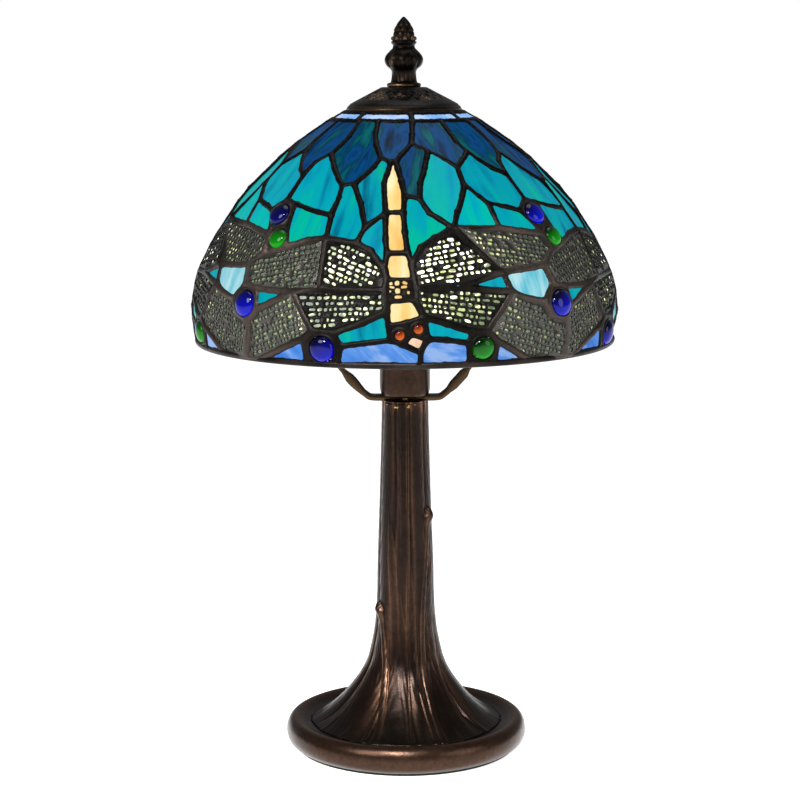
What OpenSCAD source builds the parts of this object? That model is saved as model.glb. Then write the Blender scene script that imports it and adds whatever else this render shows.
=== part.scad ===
// Stained glass table lamp: a leaded dragonfly dome on a cast tree trunk base.
// Origin at the centre of the underside, +Z up, the front of the lamp towards -Y.

/* [Shade] */
// Widest diameter of the leaded dome
shade_d = 254; // [246:1:262]
// Height of the dome's lower rim above the table
shade_z = 250; // [246:1:250]
// Thickness of the sheet glass
glass_t = 2.4; // [2:0.1:2.8]
// Width of a lead line
lead_w = 3.2; // [2.8:0.1:3.6]
// Depth of the lead came
lead_t = 3.4; // [3:0.1:3.8]

/* [Base] */
// Diameter of the rolled rim of the base disc
base_d = 147; // [144:1:156]
// Number of ridges around the tree trunk
ridges = 11; // [8:1:14]
// Depth of the ridges where the trunk leaves the roots
ridge_depth = 1.6; // [0.8:0.1:2]

/* [Fittings] */
// Diameter of the bulb
bulb_d = 58; // [50:1:62]
// Half of the distance between the harp's legs
harp_x = 40; // [39:0.5:42]
// Largest diameter of the finial
finial_d = 23; // [20:1:26]

/* [Hidden] */
$fn = 48;

sectors = 4;
pitch = 360 / sectors;
sheet_gap = 0.05;
rod_r = 4.8;
trunk_top = 214;
disc_floor = 15;
inlet_z = 7.2;
socket_r = 15.2;
leg_foot = 243;
cap_top = 400;
cap_holes = 24;
ferrule_l = 12;
ferrule_play = 0.05;

// ---- the dome's outer face, from the rim to the top opening: radius and height ----
wide = shade_d / 254;
rise = [0, 14, 28, 46, 64, 82, 100, 118, 130, 136];
girth = [124.2, 126.8, 126.2, 121.2, 112, 100.6, 84.6, 64.2, 46.5, 35.6];
girth_top = 35.6;
steps = len(rise) - 1;
function dome_r(i) = girth_top + (girth[i] - girth_top) * (wide * 127 - girth_top) / (127 - girth_top);
function dome_z(i) = shade_z + rise[i] * (386 - shade_z) / 136;
function along(i) = i == 0 ? 0 : along(i - 1) + norm([dome_r(i) - dome_r(i - 1), dome_z(i) - dome_z(i - 1)]);
arc = along(steps);
// heights in the layout run from 0 at the rim to 173.5 at the top opening
radii = [for (i = [0:steps]) [along(i) * 173.5 / arc, dome_r(i)]];
heights = [for (i = [0:steps]) [along(i) * 173.5 / arc, dome_z(i)]];
function r_at(s) = lookup(s, radii);
function z_at(s) = lookup(s, heights);
function turn(a) = (a % 360 + 360) % 360;
// the direction straight out of the dome at azimuth a and layout height s
function out_r(s) = z_at(min(s + 3, 173.5)) - z_at(max(s - 3, 0));
function out_z(s) = r_at(max(s - 3, 0)) - r_at(min(s + 3, 173.5));
function out_dir(a, s) =
    let (n = norm([out_r(s), out_z(s)]))
    [out_r(s) * sin(turn(a)), -out_r(s) * cos(turn(a)), out_z(s)] / n;
function on_dome(a, s, depth) =
    [r_at(s) * sin(turn(a)), -r_at(s) * cos(turn(a)), z_at(s)] - depth * out_dir(a, s);

// ---- the layout: where lead lines cross in one sector, as azimuth and height ----
crossings = [
    // top edge of the pale band, 0 to 7
    [-40.1, 173.5], [-28.8, 173.5], [-17, 173.5], [-5.6, 173.5], [6.2, 173.5], [17, 173.5],
    [27.8, 173.5], [39.2, 173.5],
    // lower edge of the pale band, 8 to 18
    [-40.1, 165], [-35.5, 165], [-27.8, 165], [-20.1, 165], [-11.3, 165], [-2.5, 165],
    [6.2, 165], [13.9, 165], [21.7, 165], [28.9, 165], [39.2, 165],
    // between the petals, 19 to 40
    [-34.6, 149.5], [-37.6, 134], [-43.2, 126.5], [-44.7, 115.5], [-44.4, 97.5], [-23.7, 109],
    [-19.3, 110.3], [-13.2, 123], [-10.9, 131], [-15.4, 143.5], [-18.5, 154.5], [-6.1, 127],
    [-3.9, 128], [-1, 134.5], [3.7, 143], [4.5, 151.5], [11.4, 136.5], [18.1, 129.8],
    [22.7, 123], [32, 135.2], [29.9, 144.5], [39.7, 122],
    // along the dragonfly's tail, 41 to 54
    [-7.8, 111.5], [-6.1, 90.5], [-0.5, 90.8], [0, 101.8], [-1.4, 113.5], [-2.9, 122.5],
    [-5.7, 73.5], [-5.1, 65.2], [0.8, 65.2], [0, 78.5], [-5.6, 55], [2, 58.5], [-5, 50.3],
    [2.4, 50.3],
    // around the body and the head, 55 to 67
    [-5.3, 43.8], [2.8, 44.3], [-4.7, 36.5], [2.7, 37.8], [-4.8, 31.8], [-4.1, 24],
    [0.5, 25.5], [4.7, 28.8], [-3.7, 16], [-0.9, 13.7], [3.7, 9], [5.6, 16.7], [1.4, 19.3],
    // along the rim, 68 to 81
    [-44.8, 1.5], [-40.6, 1.5], [-32.9, 1.5], [-25.9, 1.5], [-17.2, 1.5], [-10.3, 1.5],
    [-3.1, 1.5], [3.7, 1.5], [10, 1.5], [16.3, 1.5], [23.1, 1.5], [28.3, 1.5], [33.8, 1.5],
    [39.2, 1.5],
    // under and between the wings, 82 to 107
    [-26.7, 15.5], [-24.3, 20], [-18.1, 19.8], [-16.3, 12.2], [-10.8, 25.5], [-10.3, 14],
    [-23.1, 43.5], [-30.3, 41.2], [-42.7, 41.8], [-41.5, 30], [-44.1, 22.8], [-44.2, 12.5],
    [23.7, 14.3], [21, 19.8], [16.7, 20.3], [16, 13.8], [10.5, 24.9], [10.3, 15.8],
    [12.9, 45.5], [27.1, 52.8], [28.7, 40.8], [41.5, 55.5], [42.6, 43.7], [38.7, 34],
    [40.5, 26], [33, 36.7],
    // above the left wings, 108 to 118
    [-9.8, 66.5], [-14.2, 71], [-12.1, 81], [-14.9, 97], [-23.7, 73.5], [-24.1, 88.2],
    [-23.4, 100.5], [-29.8, 72.2], [-36.3, 67.5], [-38.8, 79.7], [-39.6, 95],
    // above the right wings, 119 to 137
    [4.7, 68.5], [8.8, 74.2], [14.7, 80], [8, 90.5], [5.1, 100], [5.9, 111.5],
    [8.6, 123.5], [17.3, 91], [20.6, 101.5], [22.6, 109.5], [26.8, 101], [29.3, 96],
    [30.2, 79.5], [36.1, 92.9], [40.8, 90], [38.1, 76.8], [44.5, 78.7], [45.5, 73.5],
    [46.6, 63]
];
// a number from 1000 up is the same crossing in the next sector to the right
next = 1000;

band_cells = [
    [0, 8, 9, 10, 11, 12, 13, 14, 4, 3, 2, 1],
    [4, 14, 15, 16, 17, 18, 1008, 1000, 7, 6, 5]
];
petal_cells = [
    [9, 19, 20, 24, 25, 26, 27, 28, 29, 11, 10],
    [11, 29, 28, 27, 30, 31, 32, 33, 34, 14, 13, 12],
    [14, 34, 33, 35, 36, 37, 38, 39, 17, 16, 15],
    [33, 32, 31, 46, 45, 44, 123, 124, 125, 35],
    [17, 39, 38, 40, 1022, 1021, 1020, 1019, 1009, 1008, 18]
];
teal_cells = [
    [20, 21, 22, 23, 118, 113, 114, 24],
    [118, 117, 116, 115, 112, 113],
    [24, 114, 113, 112, 109, 110, 111, 25],
    [25, 111, 110, 42, 41, 30, 27, 26],
    [42, 110, 109, 108, 51, 48, 47],
    [44, 43, 50, 49, 52, 119, 120, 121, 122, 123],
    [37, 128, 129, 130, 132, 133, 1023, 1022, 40, 38],
    [89, 90, 91],
    [100, 102, 101],
    [59, 86, 84, 85, 87, 63, 60],
    [62, 66, 99, 97, 96, 98]
];
green_cells = [
    [35, 125, 124, 123, 122, 121, 126, 127, 128, 37, 36],
    [128, 127, 126, 121, 131, 130, 129],
    [130, 131, 134, 136, 135, 133, 132]
];
amber_cells = [
    [30, 41, 42, 43, 44, 45, 46, 31],
    [42, 47, 48, 49, 50, 43],
    [48, 51, 53, 54, 52, 49],
    [57, 59, 60, 61, 62, 58]
];
thorax_cells = [
    [53, 55, 57, 58, 56, 54]
];
face_cells = [
    [64, 65, 66, 67]
];
sky_cells = [
    [101, 102, 107, 105, 104, 103]
];
rim_cells = [
    [85, 72, 73, 74, 75, 65, 64, 63, 87],
    [66, 65, 75, 76, 77, 97, 99],
    [69, 70, 71, 82],
    [94, 78, 79, 80]
];
wing_cells = [
    [109, 112, 88, 55, 53, 51, 108],
    [1112, 1115, 1116, 137, 103, 104, 1090, 1089, 1088],
    [55, 88, 89, 83, 84, 86, 59, 57],
    [89, 91, 92, 93, 68, 69, 82, 83],
    [56, 100, 101, 121, 120, 119, 52, 54],
    [121, 101, 103, 137, 136, 134, 131],
    [56, 58, 62, 98, 96, 95, 102, 100],
    [102, 95, 94, 80, 81, 1068, 1093, 1092, 106, 105, 107]
];
// each stone: its cell, its centre and its radius
blue_stones = [
    [[71, 72, 85, 84, 83, 82], [-21.4, 9.9], 7.2],
    [[104, 105, 106, 1092, 1091, 1090], [44.2, 32.5], 7.4],
    [[1023, 133, 135, 1117, 1118], [46, 86.9], 6.8]
];
green_stones = [
    [[77, 78, 94, 95, 96, 97], [19.8, 10.5], 6.2],
    [[135, 136, 137, 1116, 1117], [49.7, 71.8], 5.8]
];
eye_stones = [
    [[60, 63, 64, 67, 61], [-1.4, 18.8], 2.6],
    [[61, 67, 66, 62], [3.2, 22.1], 2.6]
];
flat_cells = concat(petal_cells, teal_cells, green_cells, amber_cells, thorax_cells,
    face_cells, sky_cells, rim_cells, wing_cells);
stones = concat(blue_stones, green_stones, eye_stones);

// ---- cells as polygons ----
function crossing(k, sector) =
    let (c = crossings[k % next])
    [c[0] + pitch * (sector + floor(k / next)), c[1]];
function wrap(i, n) = (i + n) % n;
function total(v, i) = i < 0 ? v[0] * 0 : v[i] + total(v, i - 1);
function unit(v) = v / norm(v);
// moves each side of an anticlockwise polygon inwards by w
function shrink(p, w) =
    let (n = len(p))
    [for (i = [0:n - 1])
        let (
            a = unit(p[i] - p[wrap(i - 1, n)]),
            b = unit(p[wrap(i + 1, n)] - p[i]),
            na = [-a[1], a[0]],
            nb = [-b[1], b[0]]
        )
        p[i] + w * (na + nb) / (1 + na * nb)];
// the plane that lies best through a cell: centre, right, up and out
function cell_plane(cell, sector) =
    let (
        n = len(cell),
        q = [for (k = cell) let (c = crossing(k, sector)) on_dome(c[0], c[1], lead_t / 2)],
        mid = total(q, n - 1) / n,
        out = unit(total([for (i = [0:n - 1]) cross(q[i] - mid, q[wrap(i + 1, n)] - mid)], n - 1)),
        right = unit(cross([0, 0, 1], out))
    )
    [mid, right, cross(out, right), out];
function flat(p, plane) = [(p - plane[0]) * plane[1], (p - plane[0]) * plane[2]];
function lifted(p, plane, h) = plane[0] + p[0] * plane[1] + p[1] * plane[2] + h * plane[3];
function cell_flat(cell, sector, plane) =
    [for (k = cell) let (c = crossing(k, sector)) flat(on_dome(c[0], c[1], lead_t / 2), plane)];
function on_edge(a, b, s) = a[1] == s && b[1] == s;
bearing = function (p) atan2(p[1], p[0]);

// ---- the lead came as one skin: outer corners, then inner corners, each at two depths ----
function corners(cell, sector, depth) =
    [for (k = cell) let (c = crossing(k, sector)) on_dome(c[0], c[1], depth)];
function pane_mouth(cell, sector, h) =
    let (plane = cell_plane(cell, sector))
    [for (p = shrink(cell_flat(cell, sector, plane), lead_w / 2)) lifted(p, plane, h)];
function band_mouth(cell, sector, depth) =
    let (
        c = [for (k = cell) crossing(k, sector)],
        r = r_at(169) * PI / 180,
        p = shrink([for (q = c) [q[0] * r, q[1]]], lead_w / 2)
    )
    [for (q = p) on_dome(q[0] / r, q[1], depth)];
function stone_mouth(stone, sector, h) =
    let (
        plane = cell_plane(stone[0], sector),
        p = cell_flat(stone[0], sector, plane),
        c = flat(on_dome(stone[1][0] + pitch * sector, stone[1][1], lead_t / 2), plane),
        n = len(p),
        r = (stone[2] + sheet_gap) / cos(22)
    )
    [for (i = [0:n - 1])
        let (
            a = bearing(p[i] - c),
            step = turn(bearing(p[wrap(i + 1, n)] - c) - a) / 3
        )
        for (j = [0:2]) lifted(c + r * [cos(a + j * step), sin(a + j * step)], plane, h)];
// side walls where the came ends at the rim and at the top opening
function end_walls(cell, base, low) =
    let (n = len(cell))
    [for (i = [0:n - 1])
        let (j = wrap(i + 1, n), a = crossing(cell[i], 0), b = crossing(cell[j], 0))
        if (on_edge(a, b, 1.5) || on_edge(a, b, 173.5))
            each [[base + i, base + j, low + j], [base + i, low + j, low + i]]];
function pane_faces(cell, o) =
    let (n = len(cell), m = o + n, lo = o + 2 * n, lm = o + 3 * n)
    concat(end_walls(cell, o, lo), [for (i = [0:n - 1])
        let (j = wrap(i + 1, n))
        each [[o + i, m + j, o + j], [o + i, m + i, m + j],
            [lo + i, lo + j, lm + j], [lo + i, lm + j, lm + i],
            [m + j, m + i, lm + i], [m + j, lm + i, lm + j]]]);
function stone_faces(cell, o) =
    let (n = len(cell), m = o + n, lo = o + 4 * n, lm = lo + n)
    concat(end_walls(cell, o, lo), [for (i = [0:n - 1])
        let (j = wrap(i + 1, n), a = 3 * i, b = a + 1, c = a + 2, d = wrap(a + 3, 3 * n))
        each [[o + i, m + a, m + b], [o + i, m + b, o + j], [o + j, m + b, m + c],
            [o + j, m + c, m + d], [lo + i, lm + b, lm + a], [lo + i, lo + j, lm + b],
            [lo + j, lm + c, lm + b], [lo + j, lm + d, lm + c],
            [m + b, m + a, lm + a], [m + b, lm + a, lm + b],
            [m + c, m + b, lm + b], [m + c, lm + b, lm + c],
            [m + d, m + c, lm + c], [m + d, lm + c, lm + d]]]);
function pane_points(cell, sector) = concat(
    corners(cell, sector, 0), pane_mouth(cell, sector, lead_t / 2),
    corners(cell, sector, lead_t), pane_mouth(cell, sector, -lead_t / 2));
function band_points(cell, sector) = concat(
    corners(cell, sector, 0), band_mouth(cell, sector, 0),
    corners(cell, sector, lead_t), band_mouth(cell, sector, lead_t));
function stone_points(stone, sector) = concat(
    corners(stone[0], sector, 0), stone_mouth(stone, sector, lead_t / 2),
    corners(stone[0], sector, lead_t), stone_mouth(stone, sector, -lead_t / 2));

came_parts = concat(
    [for (s = [0:sectors - 1], c = band_cells) [band_points(c, s), pane_faces(c, 0)]],
    [for (s = [0:sectors - 1], c = flat_cells) [pane_points(c, s), pane_faces(c, 0)]],
    [for (s = [0:sectors - 1], c = stones) [stone_points(c, s), stone_faces(c[0], 0)]]);
function starts(parts, i) = i == 0 ? [0] :
    let (before = starts(parts, i - 1))
    concat(before, [before[i - 1] + len(parts[i - 1][0])]);

module lead_came() color([0.16, 0.13, 0.11]) {
    first = starts(came_parts, len(came_parts) - 1);
    polyhedron(
        points = [for (p = came_parts) each p[0]],
        faces = [for (i = [0:len(came_parts) - 1], f = came_parts[i][1]) [for (v = f) v + first[i]]]);
}

// ---- sheet glass ----
module on_plane(plane) multmatrix([
    [plane[1][0], plane[2][0], plane[3][0], plane[0][0]],
    [plane[1][1], plane[2][1], plane[3][1], plane[0][1]],
    [plane[1][2], plane[2][2], plane[3][2], plane[0][2]],
    [0, 0, 0, 1]]) children();

module panes(cells) for (s = [0:sectors - 1], cell = cells) {
    plane = cell_plane(cell, s);
    on_plane(plane) translate([0, 0, -glass_t / 2]) linear_extrude(glass_t)
        polygon(shrink(cell_flat(cell, s, plane), lead_w / 2 + sheet_gap));
}
module teal_glass() color([0.05, 0.62, 0.66]) panes(teal_cells);
module green_glass() color([0.08, 0.65, 0.5]) panes(green_cells);
module petal_glass() color([0.06, 0.24, 0.6]) panes(petal_cells);
module rim_glass() color([0.42, 0.58, 0.88]) panes(rim_cells);
module sky_glass() color([0.68, 0.88, 0.93]) panes(sky_cells);
module amber_glass() color([0.96, 0.76, 0.38]) panes(concat(amber_cells, thorax_cells));
module face_glass() color([0.85, 0.7, 0.6]) panes(face_cells);
module wing_glass() color([0.8, 0.78, 0.68]) panes(wing_cells);

// the pale band is bent to the curve of the opening
module band_glass() color([0.55, 0.7, 0.95]) {
    low = 165 + lead_w / 2 + 0.2;
    high = 173.5 - lead_w / 2 - 0.2;
    skin = (lead_t - glass_t) / 2;
    side = lead_w / 2 / r_at(high) * 180 / PI + 0.6;
    slope = unit([z_at(high) - z_at(low), r_at(low) - r_at(high)]);
    for (s = [0:2 * sectors - 1]) {
        from = (s % 2 == 0 ? -40.1 : 6.2) + pitch * floor(s / 2);
        span = s % 2 == 0 ? 46.3 : pitch - 46.3;
        rotate([0, 0, from + side - 90]) rotate_extrude(angle = span - 2 * side)
            polygon([for (e = [[low, skin], [low, skin + glass_t], [high, skin + glass_t], [high, skin]])
                [r_at(e[0]) - e[1] * slope[0], z_at(e[0]) - e[1] * slope[1]]]);
    }
}

// ---- pierced metal over the wings and the thorax ----
slot = [3.6, 2.2];
slot_step = [6.4, 4.4];
function clear_of(p, poly, m) =
    let (n = len(poly))
    min([for (i = [0:n - 1])
        let (d = unit(poly[wrap(i + 1, n)] - poly[i]))
        d[0] * (p[1] - poly[i][1]) - d[1] * (p[0] - poly[i][0])]) > m;
module pierced(cells, size, step) for (s = [0:sectors - 1], cell = cells) {
    plane = cell_plane(cell, s);
    outline = shrink(cell_flat(cell, s, plane), lead_w / 2 + 0.3);
    on_plane(plane) translate([0, 0, glass_t / 2]) linear_extrude(0.6) difference() {
        polygon(outline);
        for (row = [-8:8], col = [-7:7]) {
            p = [(col + (row % 2) / 2) * step[0], row * step[1]];
            if (clear_of(p, outline, norm(size) / 2 + 0.5)) translate(p) square(size, center = true);
        }
    }
}
module wing_filigree() color([0.3, 0.25, 0.2]) pierced(wing_cells, slot, slot_step);
module thorax_plate() color([0.2, 0.15, 0.1]) pierced(thorax_cells, [1.8, 1.8], [3.2, 3.2]);

// ---- glass stones: a short girdle with a domed front ----
module gems(list) for (s = [0:sectors - 1], stone = list) {
    plane = cell_plane(stone[0], s);
    c = flat(on_dome(stone[1][0] + pitch * s, stone[1][1], lead_t / 2), plane);
    r = stone[2];
    h = 0.5 * r;
    ball = (r * r + h * h) / (2 * h);
    on_plane(plane) translate([c[0], c[1], -glass_t / 2]) {
        cylinder(r = r, h = glass_t + 0.6);
        translate([0, 0, glass_t + 0.6]) rotate_extrude() intersection() {
            translate([0, h - ball]) circle(ball);
            square([r, h]);
        }
    }
}
module blue_jewels() color([0.02, 0.04, 0.7]) gems(blue_stones);
module green_jewels() color([0.02, 0.5, 0.06]) gems(green_stones);
module red_eyes() color([0.85, 0.1, 0.02]) gems(eye_stones);

// ---- metal rings of the shade ----
module rim_band() color([0.15, 0.12, 0.1]) rotate_extrude()
    polygon([[r_at(0) - 4.2, shade_z - 0.2], [r_at(0) + 0.1, shade_z - 0.2],
        [r_at(1.5) + 0.1, z_at(1.5) - 0.15], [r_at(1.5) - 4.2, z_at(1.5) - 0.15]]);
module top_ring() color([0.3, 0.24, 0.16]) rotate_extrude()
    polygon([[30.6, 381.8], [31.6, 381.8], [31.6, 385.2], [34.8, 386.1], [34.8, 386.8], [30.6, 386.8]]);
module heat_cap() color([0.2, 0.15, 0.11]) difference() {
    rotate_extrude() polygon([[3.6, 399], [13, 399], [30.4, 390.3], [32, 388.6], [32, 386.9],
        [34.2, 386.9], [34.2, 388.8], [32.2, 391.4], [13.5, cap_top], [3.6, cap_top]]);
    for (ring = [0:2], k = [0:cap_holes - 1])
        rotate([0, 0, (k + ring % 2 / 2) * 360 / cap_holes]) translate([19 + 3 * ring, 0, 386])
            cylinder(r = 1.1, h = 16, $fn = 8);
}

// ---- surfaces turned about the lamp's axis, with flutes ----
// each ring is radius, height, flute depth, twist in degrees
function ring_points(ring, n, count, sharp) = [for (j = [0:n - 1])
    let (
        a = j * 360 / n,
        w = count * (a + ring[3]) + 20 * sin(2 * a + 3 * ring[1]),
        f = sharp ? 2 * abs(cos(w / 2)) - 1 : cos(w)
    )
    [(ring[0] + ring[2] * f) * cos(a), (ring[0] + ring[2] * f) * sin(a), ring[1]]];
module fluted(rings, n, count, sharp) {
    last = len(rings) - 1;
    ends = last * n + n;
    polyhedron(
        points = concat([for (q = rings) each ring_points(q, n, count, sharp)],
            [[0, 0, rings[0][1]], [0, 0, rings[last][1]]]),
        faces = concat(
            [for (i = [0:last - 1], j = [0:n - 1])
                let (k = (j + 1) % n, a = i * n + j, b = i * n + k)
                each [[a, b + n, b], [a, a + n, b + n]]],
            [for (j = [0:n - 1]) let (k = (j + 1) % n) [j, k, ends]],
            [for (j = [0:n - 1]) let (k = (j + 1) % n) [last * n + k, last * n + j, ends + 1]]));
}

// ---- base ----
grow = base_d / 147;
bark = [[15.2, 56], [17.5, 52.5], [20.5, 48], [24.5, 43], [29, 38.4], [34, 34.2], [39, 30.4],
    [44, 27.1], [49, 24.4], [54, 22.4], [60, 20.9], [69, 19], [80, 17.6], [95, 16.7],
    [115, 16.5], [149, 15.3], [190, 14.1], [trunk_top, 13.6]];
bark_h = [15.2, 17.5, 20.5, 24.5, 29, 34, 39, 44, 49, 54, 60, 69, 80, 95, 115, 135, 155, 175,
    195, trunk_top];
function bark_r(z) = lookup(z, bark);
function ridge_at(z) = z > 60 ? lookup(z, [[60, ridge_depth], [trunk_top, ridge_depth / 2]])
    : lookup(z, [[15.2, 5], [24, 4.2], [40, 2.4], [60, ridge_depth]]);
function stem_at(a, z, lift) = [(bark_r(z) + lift) * sin(a), -(bark_r(z) + lift) * cos(a), z];
module stem(path) for (i = [0:len(path) - 2]) hull() for (p = [path[i], path[i + 1]])
    translate(stem_at(p[0], p[1], p[2])) sphere(r = p[3], $fn = 10);
module trunk() color([0.18, 0.13, 0.1]) difference() {
    union() {
        fluted([for (z = bark_h) [bark_r(z) - ridge_at(z) / 2, z, ridge_at(z), 12 * sin(1.2 * z)]],
            66, ridges, true);
        stem([[36, 26, 1, 2.4], [38, 40, 0.6, 2.2], [42, 58, 0.6, 2], [48, 80, 0.4, 1.8],
            [56, 104, 0.2, 1.7], [66, 122, 0.3, 1.8], [72, 131, 0.6, 2.6], [77, 139, 0.9, 2.5],
            [80, 147, 1.4, 0.8]]);
        stem([[-44, 28, 1, 2.4], [-50, 42, 0.4, 2.1], [-60, 56, 0.4, 1.8], [-72, 68, 0.4, 1.8],
            [-80, 76, 0.4, 2.6], [-86, 83, 0.4, 2.4], [-90, 90, 0.6, 0.9]]);
    }
    translate([0, 0, 10]) cylinder(r = 8.4, h = 194, $fn = 24);
    cylinder(r = rod_r + 0.3, h = 230, $fn = 24);
}
module base_disc() color([0.17, 0.12, 0.09]) difference() {
    rotate_extrude() union() {
        polygon([[0, 9], [0, disc_floor], [60 * grow, disc_floor], [66 * grow, 17], [68.5 * grow, 18.2],
            [70.6 * grow, 18], [72.6 * grow, 15.6], [73.5 * grow, 12], [73.5 * grow, 8], [72.4 * grow, 4.6],
            [70.4 * grow, 2.6], [68.6 * grow, 1.5], [64 * grow, 1.5], [64 * grow, 6], [60 * grow, 9]]);
    }
    translate([0, 0, 5]) cylinder(r = rod_r + 0.3, h = 15);
    translate([0, 50, inlet_z]) rotate([-90, 0, 0]) cylinder(r = 5, h = 40);
}
module felt_pad() color([0.1, 0.12, 0.1]) cylinder(r = 67.5 * grow, h = 1.5);
module base_washer() color([0.6, 0.6, 0.58]) translate([0, 0, 7.6]) difference() {
    cylinder(r = 13, h = 1.4);
    translate([0, 0, -1]) cylinder(r = rod_r + 0.2, h = 4);
}
module base_nut() color([0.65, 0.6, 0.45]) translate([0, 0, 4]) difference() {
    cylinder(r = 9.2, h = 3.6, $fn = 6);
    translate([0, 0, -1]) cylinder(r = rod_r + 0.02, h = 6);
}
module cord_bush() color([0.12, 0.12, 0.12]) difference() {
    translate([0, 61 * grow, inlet_z]) rotate([-90, 0, 0]) cylinder(r = 4.95, h = 14.5 * grow);
    translate([0, 50, inlet_z]) rotate([-90, 0, 0]) cylinder(r = 3.2, h = 40);
}

// ---- rod, saddle and socket ----
module threaded_rod() color([0.6, 0.55, 0.4]) difference() {
    translate([0, 0, 3]) cylinder(r = rod_r, h = 217);
    cylinder(r = 3, h = 240);
}
module harp_saddle() color([0.32, 0.25, 0.15]) {
    difference() {
        union() {
            rotate([90, 0, 0]) translate([0, 0, -4]) linear_extrude(8) polygon([
                [-22, trunk_top], [22, trunk_top], [harp_x + 1.6, 233], [harp_x + 1.6, 236],
                [harp_x - 1.6, 236], [harp_x - 1.6, 234.4], [21.4, 215.6], [-21.4, 215.6],
                [1.6 - harp_x, 234.4], [1.6 - harp_x, 236], [-harp_x - 1.6, 236],
                [-harp_x - 1.6, 233]]);
            translate([0, 0, trunk_top]) cylinder(r = 8, h = 1.6);
        }
        cylinder(r = rod_r + 0.3, h = 230);
    }
    for (x = [-harp_x, harp_x]) translate([x, 0, 236]) cylinder(r = 1.6, h = leg_foot - 236.2);
}
module socket_cap() color([0.2, 0.15, 0.11])
    rotate_extrude() polygon([[rod_r + 0.02, 215.6], [6.8, 215.6], [6.8, 218.4], [11.5, 219], [14.2, 220.6],
        [socket_r, 223.4], [socket_r, 234], [socket_r + 0.5, 235], [socket_r, 236], [14.5, 236],
        [14.5, 223.6], [13.4, 221.8], [11, 220.2], [rod_r + 0.02, 220.2]]);
module socket_shell() color([0.2, 0.15, 0.11]) difference() {
    rotate_extrude() polygon([[14.5, 236], [socket_r, 236], [socket_r, 273], [15.8, 274], [15.8, 275.4],
        [14.5, 275.4]]);
    translate([0, -8, 241]) rotate([90, 0, 0]) cylinder(r = 3.4, h = 12);
}
module insulating_sleeve() color([0.55, 0.45, 0.3]) difference() {
    translate([0, 0, 224]) cylinder(r = 14.4, h = 50);
    translate([0, 0, 223]) cylinder(r = 14, h = 52);
    translate([0, -8, 241]) rotate([90, 0, 0]) cylinder(r = 3.4, h = 12);
}
module socket_body() color([0.1, 0.09, 0.08]) difference() {
    translate([0, 0, 224]) cylinder(r = 12.6, h = 23.6);
    translate([0, 2, 241]) rotate([90, 0, 0]) cylinder(r = 2.05, h = 20);
    translate([0, 0, 220]) cylinder(r = 3.2, h = 10);
    for (x = [-1, 1]) translate([x * 12.6, 0, 230]) rotate([0, 90, 0])
        cylinder(r = 1.6, h = 10, center = true);
}
module terminal_screws() color([0.75, 0.65, 0.35])
    for (x = [0, 180]) rotate([0, 0, x]) translate([0, 0, 230]) rotate([0, 90, 0]) difference() {
        union() {
            translate([0, 0, 8]) cylinder(r = 1.55, h = 5);
            translate([0, 0, 12.65]) cylinder(r = 3, h = 1.1);
        }
        translate([-4, -0.4, 13.2]) cube([8, 0.8, 2]);
    }
module screw_shell() color([0.8, 0.68, 0.35]) difference() {
    translate([0, 0, 247.6]) cylinder(r = 13.75, h = 24);
    translate([0, 0, 248.4]) cylinder(r = 13.3, h = 24);
    translate([0, 0, 240]) cylinder(r = 4.5, h = 20);
}
module centre_contact() color([0.8, 0.68, 0.35]) {
    translate([0, 0, 247.6]) cylinder(r = 3.4, h = 0.8);
    translate([0, 0, 248.4]) cylinder(r = 2, h = 1.5);
}
module switch_shaft() color([0.75, 0.65, 0.35])
    translate([0, 0, 241]) rotate([90, 0, 0]) cylinder(r = 2, h = 22);
module switch_knob() color([0.08, 0.07, 0.06]) translate([0, -18, 241]) rotate([90, 0, 0]) difference() {
    union() {
        cylinder(r = 3, h = 4);
        translate([0, 0, 4]) cylinder(r = 4.6, h = 9);
        for (k = [0:11]) rotate([0, 0, k * 30]) translate([4.3, -0.5, 4.6]) cube([0.8, 1, 7.8]);
    }
    translate([0, 0, -1]) cylinder(r = 2, h = 5);
}

// ---- harp ----
wire_r = 1.6;
weld_r = 1.9;
bend_r = 120;
bend_a = 35;
crown_r = (harp_x - bend_r * (1 - cos(bend_a))) / cos(bend_a);
crown_z = 394.4 - crown_r;
bend_z = crown_z + crown_r * sin(bend_a) - bend_r * sin(bend_a);
module arc_wire(x, z, r, from, span) translate([x, 0, z]) rotate([90, 0, 0])
    rotate([0, 0, from]) rotate_extrude(angle = span) translate([r, 0]) circle(wire_r);
module harp() color([0.72, 0.6, 0.35]) {
    for (side = [0, 1]) mirror([side, 0, 0]) {
        translate([harp_x, 0, leg_foot]) cylinder(r = wire_r, h = bend_z - leg_foot - 0.4);
        translate([harp_x, 0, bend_z]) sphere(r = weld_r);
        arc_wire(harp_x - bend_r, bend_z, bend_r, 0.2, bend_a - 0.4);
        translate([crown_r * cos(bend_a), 0, crown_z + crown_r * sin(bend_a)]) sphere(r = weld_r);
    }
    arc_wire(0, crown_z, crown_r, bend_a + 1, 178 - 2 * bend_a);
}
module harp_stud() color([0.78, 0.68, 0.4]) difference() {
    union() {
        translate([0, 0, 392]) cylinder(r = 4.6, h = 4.4);
        translate([0, 0, 396.4]) cylinder(r = 7, h = 2.6);
        translate([0, 0, 399]) cylinder(r = 3.15, h = 11);
    }
    arc_wire(0, crown_z, crown_r, bend_a, 180 - 2 * bend_a);
}
module ferrule(x) translate([x, 0, 236.6]) difference() {
    union() {
        cylinder(r = 2.7, h = ferrule_l);
        cylinder(r = 3.1, h = 1.2);
    }
    translate([0, 0, -1]) cylinder(r = wire_r + ferrule_play, h = ferrule_l + 2);
}
module harp_ferrule_left() color([0.72, 0.6, 0.35]) ferrule(-harp_x);
module harp_ferrule_right() color([0.72, 0.6, 0.35]) ferrule(harp_x);

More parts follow.
